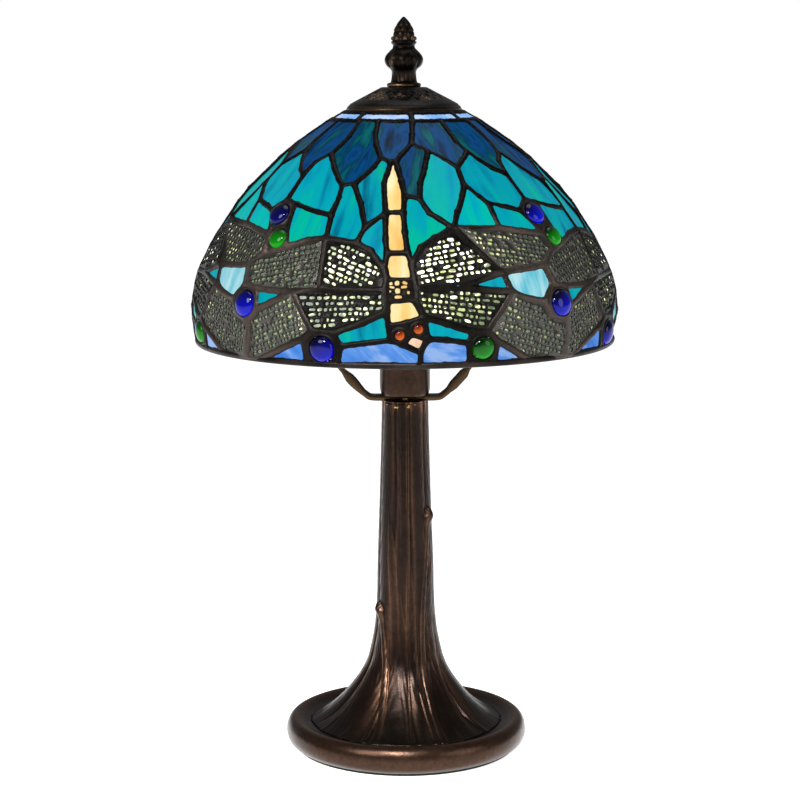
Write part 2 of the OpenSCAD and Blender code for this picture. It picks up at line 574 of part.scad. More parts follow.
// ---- bulb ----
bulb_r = bulb_d / 2;
bulb_seat = 250;
bulb_line = [[12.2, 276.2], [13.2, 282], [15.4, 289], [19.6, 298], [24.6, 308]];
module bulb_base() color([0.75, 0.75, 0.74]) difference() {
    union() {
        translate([0, 0, 255]) cylinder(r = 13.2, h = 19);
        translate([0, 0, 274]) cylinder(r = 12.8, h = 2.2);
    }
    translate([0, 0, 255.6]) cylinder(r = 12.4, h = 30);
    translate([0, 0, 254]) cylinder(r = 5.6, h = 3);
}
module bulb_insulator() color([0.1, 0.1, 0.12]) {
    translate([0, 0, bulb_seat]) cylinder(r = 4, h = 1.4);
    translate([0, 0, bulb_seat + 1.4]) cylinder(r1 = 6, r2 = 12.2, h = 3.55);
    translate([0, 0, bulb_seat + 4.95]) cylinder(r = 5.5, h = 1);
}
module bulb_glass() color([1, 0.95, 0.8, 0.5]) rotate_extrude() difference() {
    union() {
        polygon(concat([[0, 262], [12.2, 262]], bulb_line, [[bulb_r * 0.95, 319.5], [0, 319.5]]));
        intersection() {
            translate([0, 328.5]) circle(bulb_r);
            translate([0, 319.5]) square([60, 60]);
        }
    }
    translate([0, 328.5]) circle(bulb_r - 1);
    polygon([[0, 260], [11.2, 260], [11.2, 276], [12.2, 282], [13.8, 289.6], [18, 299],
        [23, 309.4], [24.4, 322], [0, 322]]);
}
module bulb_filament() color([1, 0.9, 0.6]) {
    translate([0, 0, 258]) cylinder(r = 7, h = 18);
    translate([0, 0, 276]) cylinder(r1 = 7, r2 = 3, h = 26);
    translate([0, 0, 302]) cylinder(r = 2.4, h = 24);
}

// ---- finial ----
fat = finial_d / 23;
finial_rings = [[10, 400.05, 0, 0], [10, 401.2, 0, 0], [9.2, 402.3, 0, 0], [7.7, 403.2, 0, 0],
    [7.2, 405, 0, 0], [7, 408, 0, 0], [8.2, 411, 0, 0], [10.3 * fat, 412.8, 0.5, 0],
    [11 * fat, 415.2, 0.7, 0], [10.9 * fat, 417, 0.8, 0], [9.6 * fat, 419.6, 0.6, 0], [7.8, 421.6, 0.3, 0],
    [6.6, 423.4, 0, 0], [6.9, 425, 0, 0], [7.6, 426.6, 0.2, 0], [7.5, 428.4, 0.4, 4],
    [7, 430.6, 0.5, 8], [6.2, 432.8, 0.6, 12], [4.9, 435.6, 0.5, 18], [3.2, 438.4, 0.3, 24],
    [1.6, 440.2, 0.1, 28], [0.5, 441, 0, 30]];
module finial() color([0.25, 0.17, 0.11]) difference() {
    fluted(finial_rings, 48, 8, false);
    translate([0, 0, 399]) cylinder(r = 4.6, h = 13);
}
module finial_insert() color([0.8, 0.68, 0.4]) difference() {
    translate([0, 0, 400.1]) cylinder(r = 4.55, h = 11.8);
    translate([0, 0, 399]) cylinder(r = 3.2, h = 12);
}

felt_pad();
base_disc();
trunk();
base_washer();
base_nut();
cord_bush();
threaded_rod();
harp_saddle();
socket_cap();
socket_shell();
insulating_sleeve();
socket_body();
terminal_screws();
screw_shell();
centre_contact();
switch_shaft();
switch_knob();
harp();
harp_stud();
harp_ferrule_left();
harp_ferrule_right();
bulb_base();
bulb_insulator();
bulb_glass();
bulb_filament();
lead_came();
rim_band();
top_ring();
heat_cap();
teal_glass();
green_glass();
petal_glass();
band_glass();
rim_glass();
sky_glass();
amber_glass();
face_glass();
wing_glass();
wing_filigree();
thorax_plate();
blue_jewels();
green_jewels();
red_eyes();
finial_insert();
finial();
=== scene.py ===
"""Looks of the stained glass table lamp: a leaded dragonfly dome on a cast tree trunk base.

Lengths inside the shape functions are millimetres, as in the part's source; meshes are made in metres.
"""

import math
import random

import bpy
import numpy as np
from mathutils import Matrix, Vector
from mathutils.geometry import delaunay_2d_cdt


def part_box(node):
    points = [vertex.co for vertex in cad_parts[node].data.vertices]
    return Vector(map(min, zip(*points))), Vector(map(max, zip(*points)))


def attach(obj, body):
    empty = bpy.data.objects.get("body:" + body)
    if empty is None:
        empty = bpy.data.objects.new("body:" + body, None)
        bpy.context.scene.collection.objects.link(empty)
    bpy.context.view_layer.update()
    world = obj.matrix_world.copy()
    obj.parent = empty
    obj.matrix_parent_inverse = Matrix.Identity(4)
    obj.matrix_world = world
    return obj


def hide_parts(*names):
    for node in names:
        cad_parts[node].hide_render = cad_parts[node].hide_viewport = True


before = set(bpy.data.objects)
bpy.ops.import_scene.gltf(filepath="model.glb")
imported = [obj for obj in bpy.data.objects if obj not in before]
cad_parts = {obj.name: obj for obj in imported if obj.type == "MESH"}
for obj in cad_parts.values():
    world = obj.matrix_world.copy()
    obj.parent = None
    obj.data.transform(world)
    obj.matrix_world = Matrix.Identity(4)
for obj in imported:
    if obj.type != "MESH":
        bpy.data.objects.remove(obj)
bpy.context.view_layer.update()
bpy.context.scene.view_settings.view_transform = "Standard"

MM = 0.001
OPEN, CLOSED = (False, False), (True, True)   # whether a turned surface has flat ends
SECTORS = 4
PITCH = 90.0          # degrees from one sector of the dome to the next
GLASS_T = 2.4         # thickness of the sheet glass
LEAD_T = 3.4          # thickness of the came
HALF_LEAD = 1.75      # half the width of a lead line
PANE_INSET = 0.7      # how far a pane's edge lies from the middle of its lead line
BEAD = 1.0            # height of the solder over the glass
AZ_STEP, S_STEP = 0.25, 0.5   # grid of the came's skin: degrees round the dome and millimetres up it
BLEND = 0.4           # how softly lead lines run together
BAND_SPLIT = 46.3     # degrees that the first of a sector's two band panes spans

# ---- the dome's outer face
SHADE_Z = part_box("rim_band")[0].z / MM + 0.2
TRUNK_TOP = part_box("trunk")[1].z / MM
HARP_LEG_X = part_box("harp_saddle")[1].x / MM - 1.6
TOP_S = 173.5
RISE = np.array([0, 14, 28, 46, 64, 82, 100, 118, 130, 136.0])
GIRTH = np.array([124.2, 126.8, 126.2, 121.2, 112, 100.6, 84.6, 64.2, 46.5, 35.6])
STEP_LENGTHS = np.hypot(np.diff(RISE), np.diff(GIRTH))
KNOTS = np.concatenate([[0.0], np.cumsum(STEP_LENGTHS)])
KNOTS *= TOP_S / KNOTS[-1]


def r_at(s):
    return np.interp(s, KNOTS, GIRTH)


def z_at(s):
    return np.interp(s, KNOTS, SHADE_Z + RISE)


def out_dir(a, s):
    """Unit vectors straight out of the dome at azimuths a (degrees) and layout heights s."""
    out_r = z_at(np.minimum(s + 3, TOP_S)) - z_at(np.maximum(s - 3, 0))
    out_z = r_at(np.maximum(s - 3, 0)) - r_at(np.minimum(s + 3, TOP_S))
    size = np.hypot(out_r, out_z)
    t = np.radians(a)
    return np.stack([out_r * np.sin(t) / size, -out_r * np.cos(t) / size, out_z / size + 0 * t], -1)


def on_dome(a, s, depth=0.0):
    t = np.radians(a)
    r = r_at(s)
    point = np.stack([r * np.sin(t), -r * np.cos(t), z_at(s) + 0 * t], -1)
    return point - np.asarray(depth)[..., None] * out_dir(a, s)


# ---- the layout of one sector
# where lead lines cross, as azimuth in degrees and height along the dome
CROSSINGS = [
    # top edge of the pale band, 0 to 7
    [-40.1, 173.5], [-28.8, 173.5], [-17, 173.5], [-5.6, 173.5], [6.2, 173.5], [17, 173.5],
    [27.8, 173.5], [39.2, 173.5],
    # lower edge of the pale band, 8 to 18
    [-40.1, 165], [-35.5, 165], [-27.8, 165], [-20.1, 165], [-11.3, 165], [-2.5, 165],
    [6.2, 165], [13.9, 165], [21.7, 165], [28.9, 165], [39.2, 165],
    # between the petals, 19 to 40
    [-34.6, 149.5], [-37.6, 134], [-43.2, 126.5], [-44.7, 115.5], [-44.4, 97.5], [-23.7, 109],
    [-19.3, 110.3], [-13.2, 123], [-10.9, 131], [-15.4, 143.5], [-18.5, 154.5], [-6.1, 127],
    [-3.9, 128], [-1, 134.5], [3.7, 143], [4.5, 151.5], [11.4, 136.5], [18.1, 129.8],
    [22.7, 123], [32, 135.2], [29.9, 144.5], [39.7, 122],
    # along the dragonfly's tail, 41 to 54
    [-7.8, 111.5], [-6.1, 90.5], [-0.5, 90.8], [0, 101.8], [-1.4, 113.5], [-2.9, 122.5],
    [-5.7, 73.5], [-5.1, 65.2], [0.8, 65.2], [0, 78.5], [-5.6, 55], [2, 58.5], [-5, 50.3],
    [2.4, 50.3],
    # around the body and the head, 55 to 67
    [-5.3, 43.8], [2.8, 44.3], [-4.7, 36.5], [2.7, 37.8], [-4.8, 31.8], [-4.1, 24],
    [0.5, 25.5], [4.7, 28.8], [-3.7, 16], [-0.9, 13.7], [3.7, 9], [5.6, 16.7], [1.4, 19.3],
    # along the rim, 68 to 81
    [-44.8, 1.5], [-40.6, 1.5], [-32.9, 1.5], [-25.9, 1.5], [-17.2, 1.5], [-10.3, 1.5],
    [-3.1, 1.5], [3.7, 1.5], [10, 1.5], [16.3, 1.5], [23.1, 1.5], [28.3, 1.5], [33.8, 1.5],
    [39.2, 1.5],
    # under and between the wings, 82 to 107
    [-26.7, 15.5], [-24.3, 20], [-18.1, 19.8], [-16.3, 12.2], [-10.8, 25.5], [-10.3, 14],
    [-23.1, 43.5], [-30.3, 41.2], [-42.7, 41.8], [-41.5, 30], [-44.1, 22.8], [-44.2, 12.5],
    [23.7, 14.3], [21, 19.8], [16.7, 20.3], [16, 13.8], [10.5, 24.9], [10.3, 15.8],
    [12.9, 45.5], [27.1, 52.8], [28.7, 40.8], [41.5, 55.5], [42.6, 43.7], [38.7, 34],
    [40.5, 26], [33, 36.7],
    # above the left wings, 108 to 118
    [-9.8, 66.5], [-14.2, 71], [-12.1, 81], [-14.9, 97], [-23.7, 73.5], [-24.1, 88.2],
    [-23.4, 100.5], [-29.8, 72.2], [-36.3, 67.5], [-38.8, 79.7], [-39.6, 95],
    # above the right wings, 119 to 137
    [4.7, 68.5], [8.8, 74.2], [14.7, 80], [8, 90.5], [5.1, 100], [5.9, 111.5],
    [8.6, 123.5], [17.3, 91], [20.6, 101.5], [22.6, 109.5], [26.8, 101], [29.3, 96],
    [30.2, 79.5], [36.1, 92.9], [40.8, 90], [38.1, 76.8], [44.5, 78.7], [45.5, 73.5],
    [46.6, 63]
]
# a number from 1000 up is the same crossing in the next sector to the right
NEXT = 1000

BAND_CELLS = [
    [0, 8, 9, 10, 11, 12, 13, 14, 4, 3, 2, 1],
    [4, 14, 15, 16, 17, 18, 1008, 1000, 7, 6, 5]
]
PETAL_CELLS = [
    [9, 19, 20, 24, 25, 26, 27, 28, 29, 11, 10],
    [11, 29, 28, 27, 30, 31, 32, 33, 34, 14, 13, 12],
    [14, 34, 33, 35, 36, 37, 38, 39, 17, 16, 15],
    [33, 32, 31, 46, 45, 44, 123, 124, 125, 35],
    [17, 39, 38, 40, 1022, 1021, 1020, 1019, 1009, 1008, 18]
]
TEAL_CELLS = [
    [20, 21, 22, 23, 118, 113, 114, 24],
    [118, 117, 116, 115, 112, 113],
    [24, 114, 113, 112, 109, 110, 111, 25],
    [25, 111, 110, 42, 41, 30, 27, 26],
    [42, 110, 109, 108, 51, 48, 47],
    [44, 43, 50, 49, 52, 119, 120, 121, 122, 123],
    [37, 128, 129, 130, 132, 133, 1023, 1022, 40, 38],
    [89, 90, 91],
    [100, 102, 101],
    [59, 86, 84, 85, 87, 63, 60],
    [62, 66, 99, 97, 96, 98]
]
GREEN_CELLS = [
    [35, 125, 124, 123, 122, 121, 126, 127, 128, 37, 36],
    [128, 127, 126, 121, 131, 130, 129],
    [130, 131, 134, 136, 135, 133, 132]
]
AMBER_CELLS = [
    [30, 41, 42, 43, 44, 45, 46, 31],
    [42, 47, 48, 49, 50, 43],
    [48, 51, 53, 54, 52, 49],
    [57, 59, 60, 61, 62, 58]
]
THORAX_CELLS = [[53, 55, 57, 58, 56, 54]]
FACE_CELLS = [[64, 65, 66, 67]]
SKY_CELLS = [[101, 102, 107, 105, 104, 103]]
RIM_CELLS = [
    [85, 72, 73, 74, 75, 65, 64, 63, 87],
    [66, 65, 75, 76, 77, 97, 99],
    [69, 70, 71, 82],
    [94, 78, 79, 80]
]
WING_CELLS = [
    [109, 112, 88, 55, 53, 51, 108],
    [1112, 1115, 1116, 137, 103, 104, 1090, 1089, 1088],
    [55, 88, 89, 83, 84, 86, 59, 57],
    [89, 91, 92, 93, 68, 69, 82, 83],
    [56, 100, 101, 121, 120, 119, 52, 54],
    [121, 101, 103, 137, 136, 134, 131],
    [56, 58, 62, 98, 96, 95, 102, 100],
    [102, 95, 94, 80, 81, 1068, 1093, 1092, 106, 105, 107]
]
# each stone: its cell, its centre and its radius
BLUE_STONES = [
    [[71, 72, 85, 84, 83, 82], [-21.4, 9.9], 7.2],
    [[104, 105, 106, 1092, 1091, 1090], [44.2, 32.5], 7.4],
    [[1023, 133, 135, 1117, 1118], [46, 86.9], 6.8]
]
GREEN_STONES = [
    [[77, 78, 94, 95, 96, 97], [19.8, 10.5], 6.2],
    [[135, 136, 137, 1116, 1117], [49.7, 71.8], 5.8]
]
EYE_STONES = [
    [[60, 63, 64, 67, 61], [-1.4, 18.8], 2.6],
    [[61, 67, 66, 62], [3.2, 22.1], 2.6]
]
FLAT_CELLS = (PETAL_CELLS + TEAL_CELLS + GREEN_CELLS + AMBER_CELLS + THORAX_CELLS + FACE_CELLS + SKY_CELLS
              + RIM_CELLS + WING_CELLS)
ALL_CELLS = BAND_CELLS + FLAT_CELLS
STONES = BLUE_STONES + GREEN_STONES + EYE_STONES
# the metal of the thorax has openings: centre in the layout, half sizes in millimetres, tilt in degrees
THORAX_HOLES = [
    [[-2.15, 47.8], 1.5, 1.5, 0], [[-1.95, 43.2], 1.7, 1.7, 0], [[-3.75, 47.4], 1.15, 1.0, 25],
    [[-0.1, 47.9], 1.6, 1.0, -20], [[-3.45, 45.3], 1.6, 0.75, -12], [[-0.3, 45.5], 2.0, 0.95, 8],
    [[0.8, 42.3], 0.9, 1.0, 0], [[-3.9, 42.9], 0.7, 0.7, 0], [[-1.8, 39.8], 2.5, 0.95, 0]
]


# ---- building meshes
def mesh_piece(name, points, faces, material, smooth=True):
    """A mesh object from points in millimetres."""
    mesh = bpy.data.meshes.new(name)
    mesh.from_pydata((np.asarray(points, float) * MM).tolist(), [], faces)
    mesh.materials.append(material)
    mesh.polygons.foreach_set("use_smooth", [smooth] * len(mesh.polygons))
    mesh.update()
    piece = bpy.data.objects.new(name, mesh)
    bpy.context.scene.collection.objects.link(piece)
    return piece


def store(piece, name, values):
    """A point attribute: one number or three for each vertex."""
    values = np.asarray(values, np.float32)
    kind, key = ("FLOAT", "value") if values.ndim == 1 else ("FLOAT_VECTOR", "vector")
    attribute = piece.data.attributes.new(name, kind, "POINT")
    attribute.data.foreach_set(key, values.ravel())


def fit(piece, body, slot, *nodes):
    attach(piece, body)
    if nodes:
        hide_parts(*nodes)


def make(name, points, faces, material, body, slot, *nodes, smooth=True, **attributes):
    """A piece that rides on a body, with its point attributes and the CAD nodes that it replaces."""
    piece = mesh_piece(name, points, faces, material, smooth)
    for key, values in attributes.items():
        store(piece, key, values)
    fit(piece, body, slot, *nodes)


def from_point(first, faces):
    return [tuple(first + i for i in face) for face in faces]


def full_turn(columns):
    return np.linspace(0, 2 * np.pi, columns, endpoint=False)


def ring_points(radius, turn):
    return np.stack([radius * np.cos(turn), radius * np.sin(turn)], -1)


def lathe_rows(rows, columns, closed_ends):
    """Faces of a grid of rows times columns points that closes on itself sideways."""
    faces = []
    for i in range(rows - 1):
        for j in range(columns):
            k = (j + 1) % columns
            faces.append((i * columns + j, i * columns + k, (i + 1) * columns + k, (i + 1) * columns + j))
    if closed_ends[0]:
        faces.append(tuple(reversed(range(columns))))
    if closed_ends[1]:
        faces.append(tuple(range((rows - 1) * columns, rows * columns)))
    return faces


def smooth_line(points, count):
    """A Catmull-Rom curve through the points, count steps between each pair."""
    p = np.asarray(points, float)
    p = np.vstack([2 * p[0] - p[1], p, 2 * p[-1] - p[-2]])
    made = []
    for i in range(1, len(p) - 2):
        a, b, c, d = p[i - 1], p[i], p[i + 1], p[i + 2]
        for t in np.linspace(0, 1, count, endpoint=False):
            made.append(0.5 * (2 * b + (c - a) * t + (2 * a - 5 * b + 4 * c - d) * t ** 2
                               + (3 * b - a - 3 * c + d) * t ** 3))
    made.append(p[-2])
    return np.array(made)


def lathe(name, outline, material, columns, closed_ends=CLOSED):
    """A surface turned about the lamp's axis from (radius, height) points, upwards on the outside."""
    turn = full_turn(columns)
    points = [[*p, z] for r, z in outline for p in ring_points(r, turn)]
    return mesh_piece(name, points, lathe_rows(len(outline), columns, closed_ends), material)


# ---- cells
def crossing(k):
    a, s = CROSSINGS[k % NEXT]
    return a + PITCH * (k // NEXT), s


def unit(v):
    return v / np.linalg.norm(v)


def cell_outline(cell):
    return np.array([crossing(k) for k in cell], float)


def cell_plane(cell):
    """The plane that lies best through a cell: centre, right, up and out."""
    outline = cell_outline(cell)
    q = on_dome(outline[:, 0], outline[:, 1], LEAD_T / 2)
    mid = q.mean(0)
    out = unit(np.cross(q - mid, np.roll(q, -1, 0) - mid).sum(0))
    right = unit(np.cross([0, 0, 1], out))
    return mid, right, np.cross(out, right), out


def flat(points, plane):
    d = np.atleast_2d(points) - plane[0]
    return np.stack([d @ plane[1], d @ plane[2]], -1)


def lifted(points, plane, h):
    p = np.atleast_2d(points)
    return plane[0] + p[:, :1] * plane[1] + p[:, 1:2] * plane[2] + np.reshape(h, (-1, 1)) * plane[3]


def flat_cell(cell, plane):
    outline = cell_outline(cell)
    return flat(on_dome(outline[:, 0], outline[:, 1], LEAD_T / 2), plane)


def spot_in(plane, a, s):
    return flat(on_dome(np.array([a]), np.array([s]), LEAD_T / 2), plane)[0]


def shrink(p, w):
    """Moves each side of an anticlockwise polygon inwards by w."""
    made = []
    for i in range(len(p)):
        a, b = unit(p[i] - p[i - 1]), unit(p[(i + 1) % len(p)] - p[i])
        na, nb = np.array([-a[1], a[0]]), np.array([-b[1], b[0]])
        made.append(p[i] + w * (na + nb) / max(0.3, 1 + na @ nb))
    return np.array(made)


def room_inside(p, outline):
    """Distance of p inside the outline's sides, negative outside, for outlines that bend little."""
    nearest = 1e9
    for i in range(len(outline)):
        a, b = outline[i], outline[(i + 1) % len(outline)]
        t = np.clip((p - a) @ (b - a) / ((b - a) @ (b - a)), 0, 1)
        nearest = min(nearest, np.linalg.norm(p - a - t * (b - a)))
    return nearest if inside(outline, p[0], p[1]) else -nearest


def inside(outline, x, y):
    """True where x, y lies in the polygon; x and y may be arrays."""
    hit = np.zeros(np.shape(x), bool)
    for i in range(len(outline)):
        (xa, ya), (xb, yb) = outline[i - 1], outline[i]
        if ya != yb:
            crosses = (ya > y) != (yb > y)
            hit ^= crosses & (x < (xb - xa) * (y - ya) / (yb - ya) + xa)
    return hit


def around(points, sector):
    """Points turned about the lamp's axis by whole sectors."""
    t = math.radians(PITCH * sector)
    turn = np.array([[math.cos(t), math.sin(t), 0], [-math.sin(t), math.cos(t), 0], [0, 0, 1]])
    return np.asarray(points) @ turn


# ---- node trees
def new_material(name):
    material = bpy.data.materials.new(name)
    material.use_nodes = True
    tree = material.node_tree
    return material, tree, tree.nodes["Principled BSDF"]


def join(tree, socket, value):
    """Links a node's output to the socket, or sets the socket to a number or a colour."""
    if isinstance(value, bpy.types.NodeSocket):
        tree.links.new(value, socket)
    else:
        socket.default_value = value


def add(tree, kind, inputs=(), **settings):
    """A shader node with its settings and its inputs: a number, a colour or another node's output."""
    made = tree.nodes.new("ShaderNode" + kind)
    for key, value in settings.items():
        setattr(made, key, value)
    for key, value in dict(inputs).items():
        join(tree, made.inputs[key], value)
    return made


def ramp(tree, factor, stops):
    made = add(tree, "ValToRGB", {"Fac": factor})
    elements = made.color_ramp.elements
    while len(elements) < len(stops):
        elements.new(0.5)
    for element, (position, colour) in zip(elements, stops):
        element.position = position
        element.color = (*colour, 1)
    return made.outputs["Color"]


def mixed(tree, factor, a, b, blend="MIX"):
    a, b = ((*c, 1) if isinstance(c, tuple) else c for c in (a, b))
    return add(tree, "Mix", {0: factor, 6: a, 7: b}, data_type="RGBA", blend_type=blend).outputs[2]


def calc(tree, operation, a, b=0.0, c=0.0):
    return add(tree, "Math", {0: a, 1: b, 2: c}, operation=operation).outputs[0]


def scaled(tree, value, factor, base):
    """The value times the factor, plus the base."""
    return calc(tree, "MULTIPLY_ADD", value, factor, base)


def spread(tree, value, low, high):
    """A value from 0 to 1 laid out between low and high."""
    return scaled(tree, value, high - low, low)


def noise(tree, vector, scale, detail=4.0, rough=0.55):
    return add(tree, "TexNoise", {"Vector": vector, "Scale": scale, "Detail": detail,
                                  "Roughness": rough}).outputs["Fac"]


def place_of(tree):
    return add(tree, "TexCoord").outputs["Object"]


def attribute(tree, name, output="Vector"):
    return add(tree, "Attribute", attribute_name=name).outputs[output]


def split(tree, vector):
    return add(tree, "SeparateXYZ", {0: vector}).outputs


def shade(tree, bsdf, **values):
    """Sets or links the shader's sockets; an underscore stands for a space in a socket's name."""
    for name, value in values.items():
        join(tree, bsdf.inputs[name.replace("_", " ")], value)


def dimmed(tree, colour, level):
    return mixed(tree, 1.0, colour, (level, level, level), "MULTIPLY")


def bump(tree, bsdf, height, distance, strength=1.0):
    made = add(tree, "Bump", {"Height": height, "Distance": distance, "Strength": strength})
    tree.links.new(made.outputs["Normal"], bsdf.inputs["Normal"])


def sized(tree, vector, x, y, z):
    return add(tree, "VectorMath", {0: vector, 1: (x, y, z)}, operation="MULTIPLY").outputs[0]


# ---- materials
def sheet_glass(name, colours, wide, long, glow, shine=0.05, blend=0.9):
    """Streaky glass lit from behind: streaks of wide by long millimetres, along each pane's flow."""
    material, tree, bsdf = new_material(name)
    flow = attribute(tree, "flow")
    parts = split(tree, attribute(tree, "tone"))
    streaks = noise(tree, sized(tree, flow, 1 / wide, 1 / long, 1), 1.0, 3.0, 0.5)
    clouds = noise(tree, sized(tree, flow, 0.6 / wide, 0.3 / wide, 1), 1.0, 5.0, 0.6)
    fine = noise(tree, sized(tree, flow, 4 / wide, 1.6 / long, 1), 1.0, 2.0, 0.5)
    pattern = scaled(tree, streaks, blend, calc(tree, "MULTIPLY", clouds, 1.0 - blend + 0.35))
    pattern = scaled(tree, fine, 0.16, pattern)
    pattern = calc(tree, "ADD", calc(tree, "SUBTRACT", pattern, 0.2), parts["X"])
    steps = [(0.26 + 0.48 * i / (len(colours) - 1), c) for i, c in enumerate(colours)]
    colour = ramp(tree, pattern, steps)
    shade(tree, bsdf, Base_Color=dimmed(tree, colour, 0.14), Emission_Color=colour,
          Emission_Strength=calc(tree, "MULTIPLY", parts["Y"], glow),
          Roughness=spread(tree, clouds, 0.12, 0.34), Specular_IOR_Level=shine)
    ripple = noise(tree, sized(tree, flow, 0.25, 0.12, 1), 1.0, 2.0, 0.5)
    bump(tree, bsdf, ripple, 0.0004, 0.5)
    return material


def wing_glass(name):
    """Clear seedy glass behind the pierced wings: dim at the tips, warm white near the body."""
    material, tree, bsdf = new_material(name)
    flow = attribute(tree, "flow")
    parts = split(tree, attribute(tree, "tone"))
    cells = add(tree, "TexVoronoi", {"Vector": sized(tree, flow, 0.3, 0.42, 1), "Scale": 1.0})
    lottery = add(tree, "SeparateColor", {0: cells.outputs["Color"]}).outputs["Red"]
    clouds = noise(tree, sized(tree, flow, 0.12, 0.16, 1), 1.0, 2.0, 0.5)
    light = parts["Y"]
    sparkle = calc(tree, "POWER", lottery, 2.2)
    amount = calc(tree, "MULTIPLY", scaled(tree, sparkle, 1.5, 0.22), light)
    amount = calc(tree, "MULTIPLY", amount, spread(tree, clouds, 0.2, 1.8))
    colour = ramp(tree, amount, [(0.0, (0.03, 0.048, 0.035)), (0.1, (0.11, 0.16, 0.10)),
                                 (0.3, (0.34, 0.41, 0.17)), (0.62, (0.82, 0.84, 0.42)),
                                 (0.95, (1, 1, 0.84))])
    shade(tree, bsdf, Base_Color=dimmed(tree, colour, 0.3), Emission_Color=colour,
          Emission_Strength=scaled(tree, amount, 1.4, 0.55),
          Roughness=spread(tree, clouds, 0.1, 0.3))
    bump(tree, bsdf, lottery, 0.0006, 0.6)
    return material


def stone_glass(name, deep, bright):
    """A pressed glass stone: deep at the top, lit through from below and behind."""
    material, tree, bsdf = new_material(name)
    gem = attribute(tree, "gem")
    parts = split(tree, gem)
    clouds = noise(tree, gem, 1.4, 2.0, 0.5)
    rise = scaled(tree, parts["Y"], -0.42, 0.42)
    rise = scaled(tree, parts["X"], 0.16, rise)
    rise = scaled(tree, clouds, 0.25, calc(tree, "SUBTRACT", rise, 0.1))
    half = tuple(0.5 * (d + b) for d, b in zip(deep, bright))
    colour = ramp(tree, rise, [(0.1, deep), (0.55, half), (0.95, bright)])
    shade(tree, bsdf, Base_Color=dimmed(tree, colour, 0.08), Emission_Color=colour,
          Emission_Strength=calc(tree, "MULTIPLY", attribute(tree, "lit", "Fac"), 0.8),
          Roughness=spread(tree, clouds, 0.02, 0.08), Specular_IOR_Level=0.22)
    return material


def metal(name, dark, light, rubbed_and_highlight, grain, rough=(0.3, 0.5), shine=0.8, gloss=0.5):
    """Cast or sheet metal under a dark patina, paler where the point attribute says: metal showing through
    the patina, and painted highlights and painted light on the finial, cap, trunk crests and disc rim.
    """
    material, tree, bsdf = new_material(name)
    place = place_of(tree)
    clouds = noise(tree, place, grain, 6.0, 0.6)
    specks = noise(tree, place, grain * 9, 3.0, 0.6)
    colour = ramp(tree, scaled(tree, specks, 0.3, calc(tree, "SUBTRACT", clouds, 0.15)),
                  [(0.3, dark), (0.72, light)])
    worn = attribute(tree, "worn", "Fac")
    bare_and_highlight = calc(tree, "MULTIPLY", worn, scaled(tree, specks, 1.4, 0.2))
    bare_and_highlight.node.use_clamp = True
    shade(tree, bsdf, Base_Color=mixed(tree, bare_and_highlight, colour, rubbed_and_highlight), Roughness=spread(tree, clouds, *rough),
          Metallic=shine, Specular_IOR_Level=gloss)
    bump(tree, bsdf, scaled(tree, specks, 0.35, clouds), 0.0007, 0.45)
    return material


def plain_part(name, dark, light, grain=300.0, rough=(0.35, 0.5), glow=0.0):
    """A small fitting: plastic, felt, card or frosted glass with a fine grain."""
    material, tree, bsdf = new_material(name)
    grains = noise(tree, place_of(tree), grain, 5.0, 0.6)
    colour = ramp(tree, grains, [(0.3, dark), (0.7, light)])
    shade(tree, bsdf, Base_Color=colour, Roughness=spread(tree, grains, *rough))
    if glow:
        shade(tree, bsdf, Emission_Color=colour, Emission_Strength=glow)
    bump(tree, bsdf, grains, 0.0002, 0.4)
    return material


BAND = sheet_glass("band_glass_look", [(0.09, 0.30, 0.84), (0.22, 0.46, 0.92), (0.50, 0.66, 0.95)],
                   9, 9, 0.9)
# kind of sheet glass: its cells, its colours, then the width, length and glow of its streaks
SHEETS = {
    "petal": (PETAL_CELLS, [(0.0, 0.008, 0.03), (0.0, 0.026, 0.08), (0.0, 0.057, 0.205),
                            (0.0, 0.038, 0.08), (0.0, 0.11, 0.125)], 6, 34, 0.92, 0.035),
    "teal": (TEAL_CELLS, [(0.0, 0.10, 0.17), (0.0, 0.22, 0.33), (0.0, 0.31, 0.41),
                          (0.0, 0.34, 0.37), (0.0, 0.42, 0.29)], 7, 60, 0.95),
    "green": (GREEN_CELLS, [(0.0, 0.25, 0.42), (0.0, 0.35, 0.42), (0.0, 0.42, 0.35)], 7, 50, 0.95),
    "amber": (AMBER_CELLS + THORAX_CELLS, [(0.80, 0.46, 0.12), (0.90, 0.62, 0.23), (0.94, 0.76, 0.44)],
              8, 30, 0.95),
    "face": (FACE_CELLS, [(0.60, 0.38, 0.24), (0.76, 0.54, 0.38), (0.84, 0.66, 0.50)], 6, 12, 0.9),
    "sky": (SKY_CELLS, [(0.05, 0.38, 0.50), (0.12, 0.50, 0.62), (0.42, 0.70, 0.76)], 6, 40, 0.9),
    "rim": (RIM_CELLS, [(0.015, 0.11, 0.50), (0.05, 0.20, 0.66), (0.10, 0.28, 0.72), (0.27, 0.42, 0.76)],
            5, 18, 0.9, 0.05, 0.7)
}
WINGS = wing_glass("wing_glass_look")
BLUE_STONE = stone_glass("blue_stone_look", (0.0005, 0.0005, 0.02), (0.001, 0.005, 0.78))
GREEN_STONE = stone_glass("green_stone_look", (0.0, 0.015, 0.001), (0.003, 0.42, 0.004))
RED_STONE = stone_glass("red_stone_look", (0.10, 0.0, 0.0), (1.0, 0.17, 0.003))
LEAD = metal("lead_patina", (0.0015, 0.0013, 0.0012), (0.006, 0.0048, 0.004), (0.10, 0.076, 0.064), 160,
             (0.3, 0.55), 0.75, 0.2)
WING_METAL = metal("wing_metal", (0.004, 0.004, 0.0035), (0.013, 0.012, 0.010), (0.135, 0.125, 0.112), 220,
                   (0.3, 0.55), 0.75, 0.25)
BRONZE = metal("dark_bronze", (0.005, 0.003, 0.0023), (0.0145, 0.0082, 0.0058), (0.24, 0.115, 0.062), 45,
               (0.22, 0.38), 0.85)
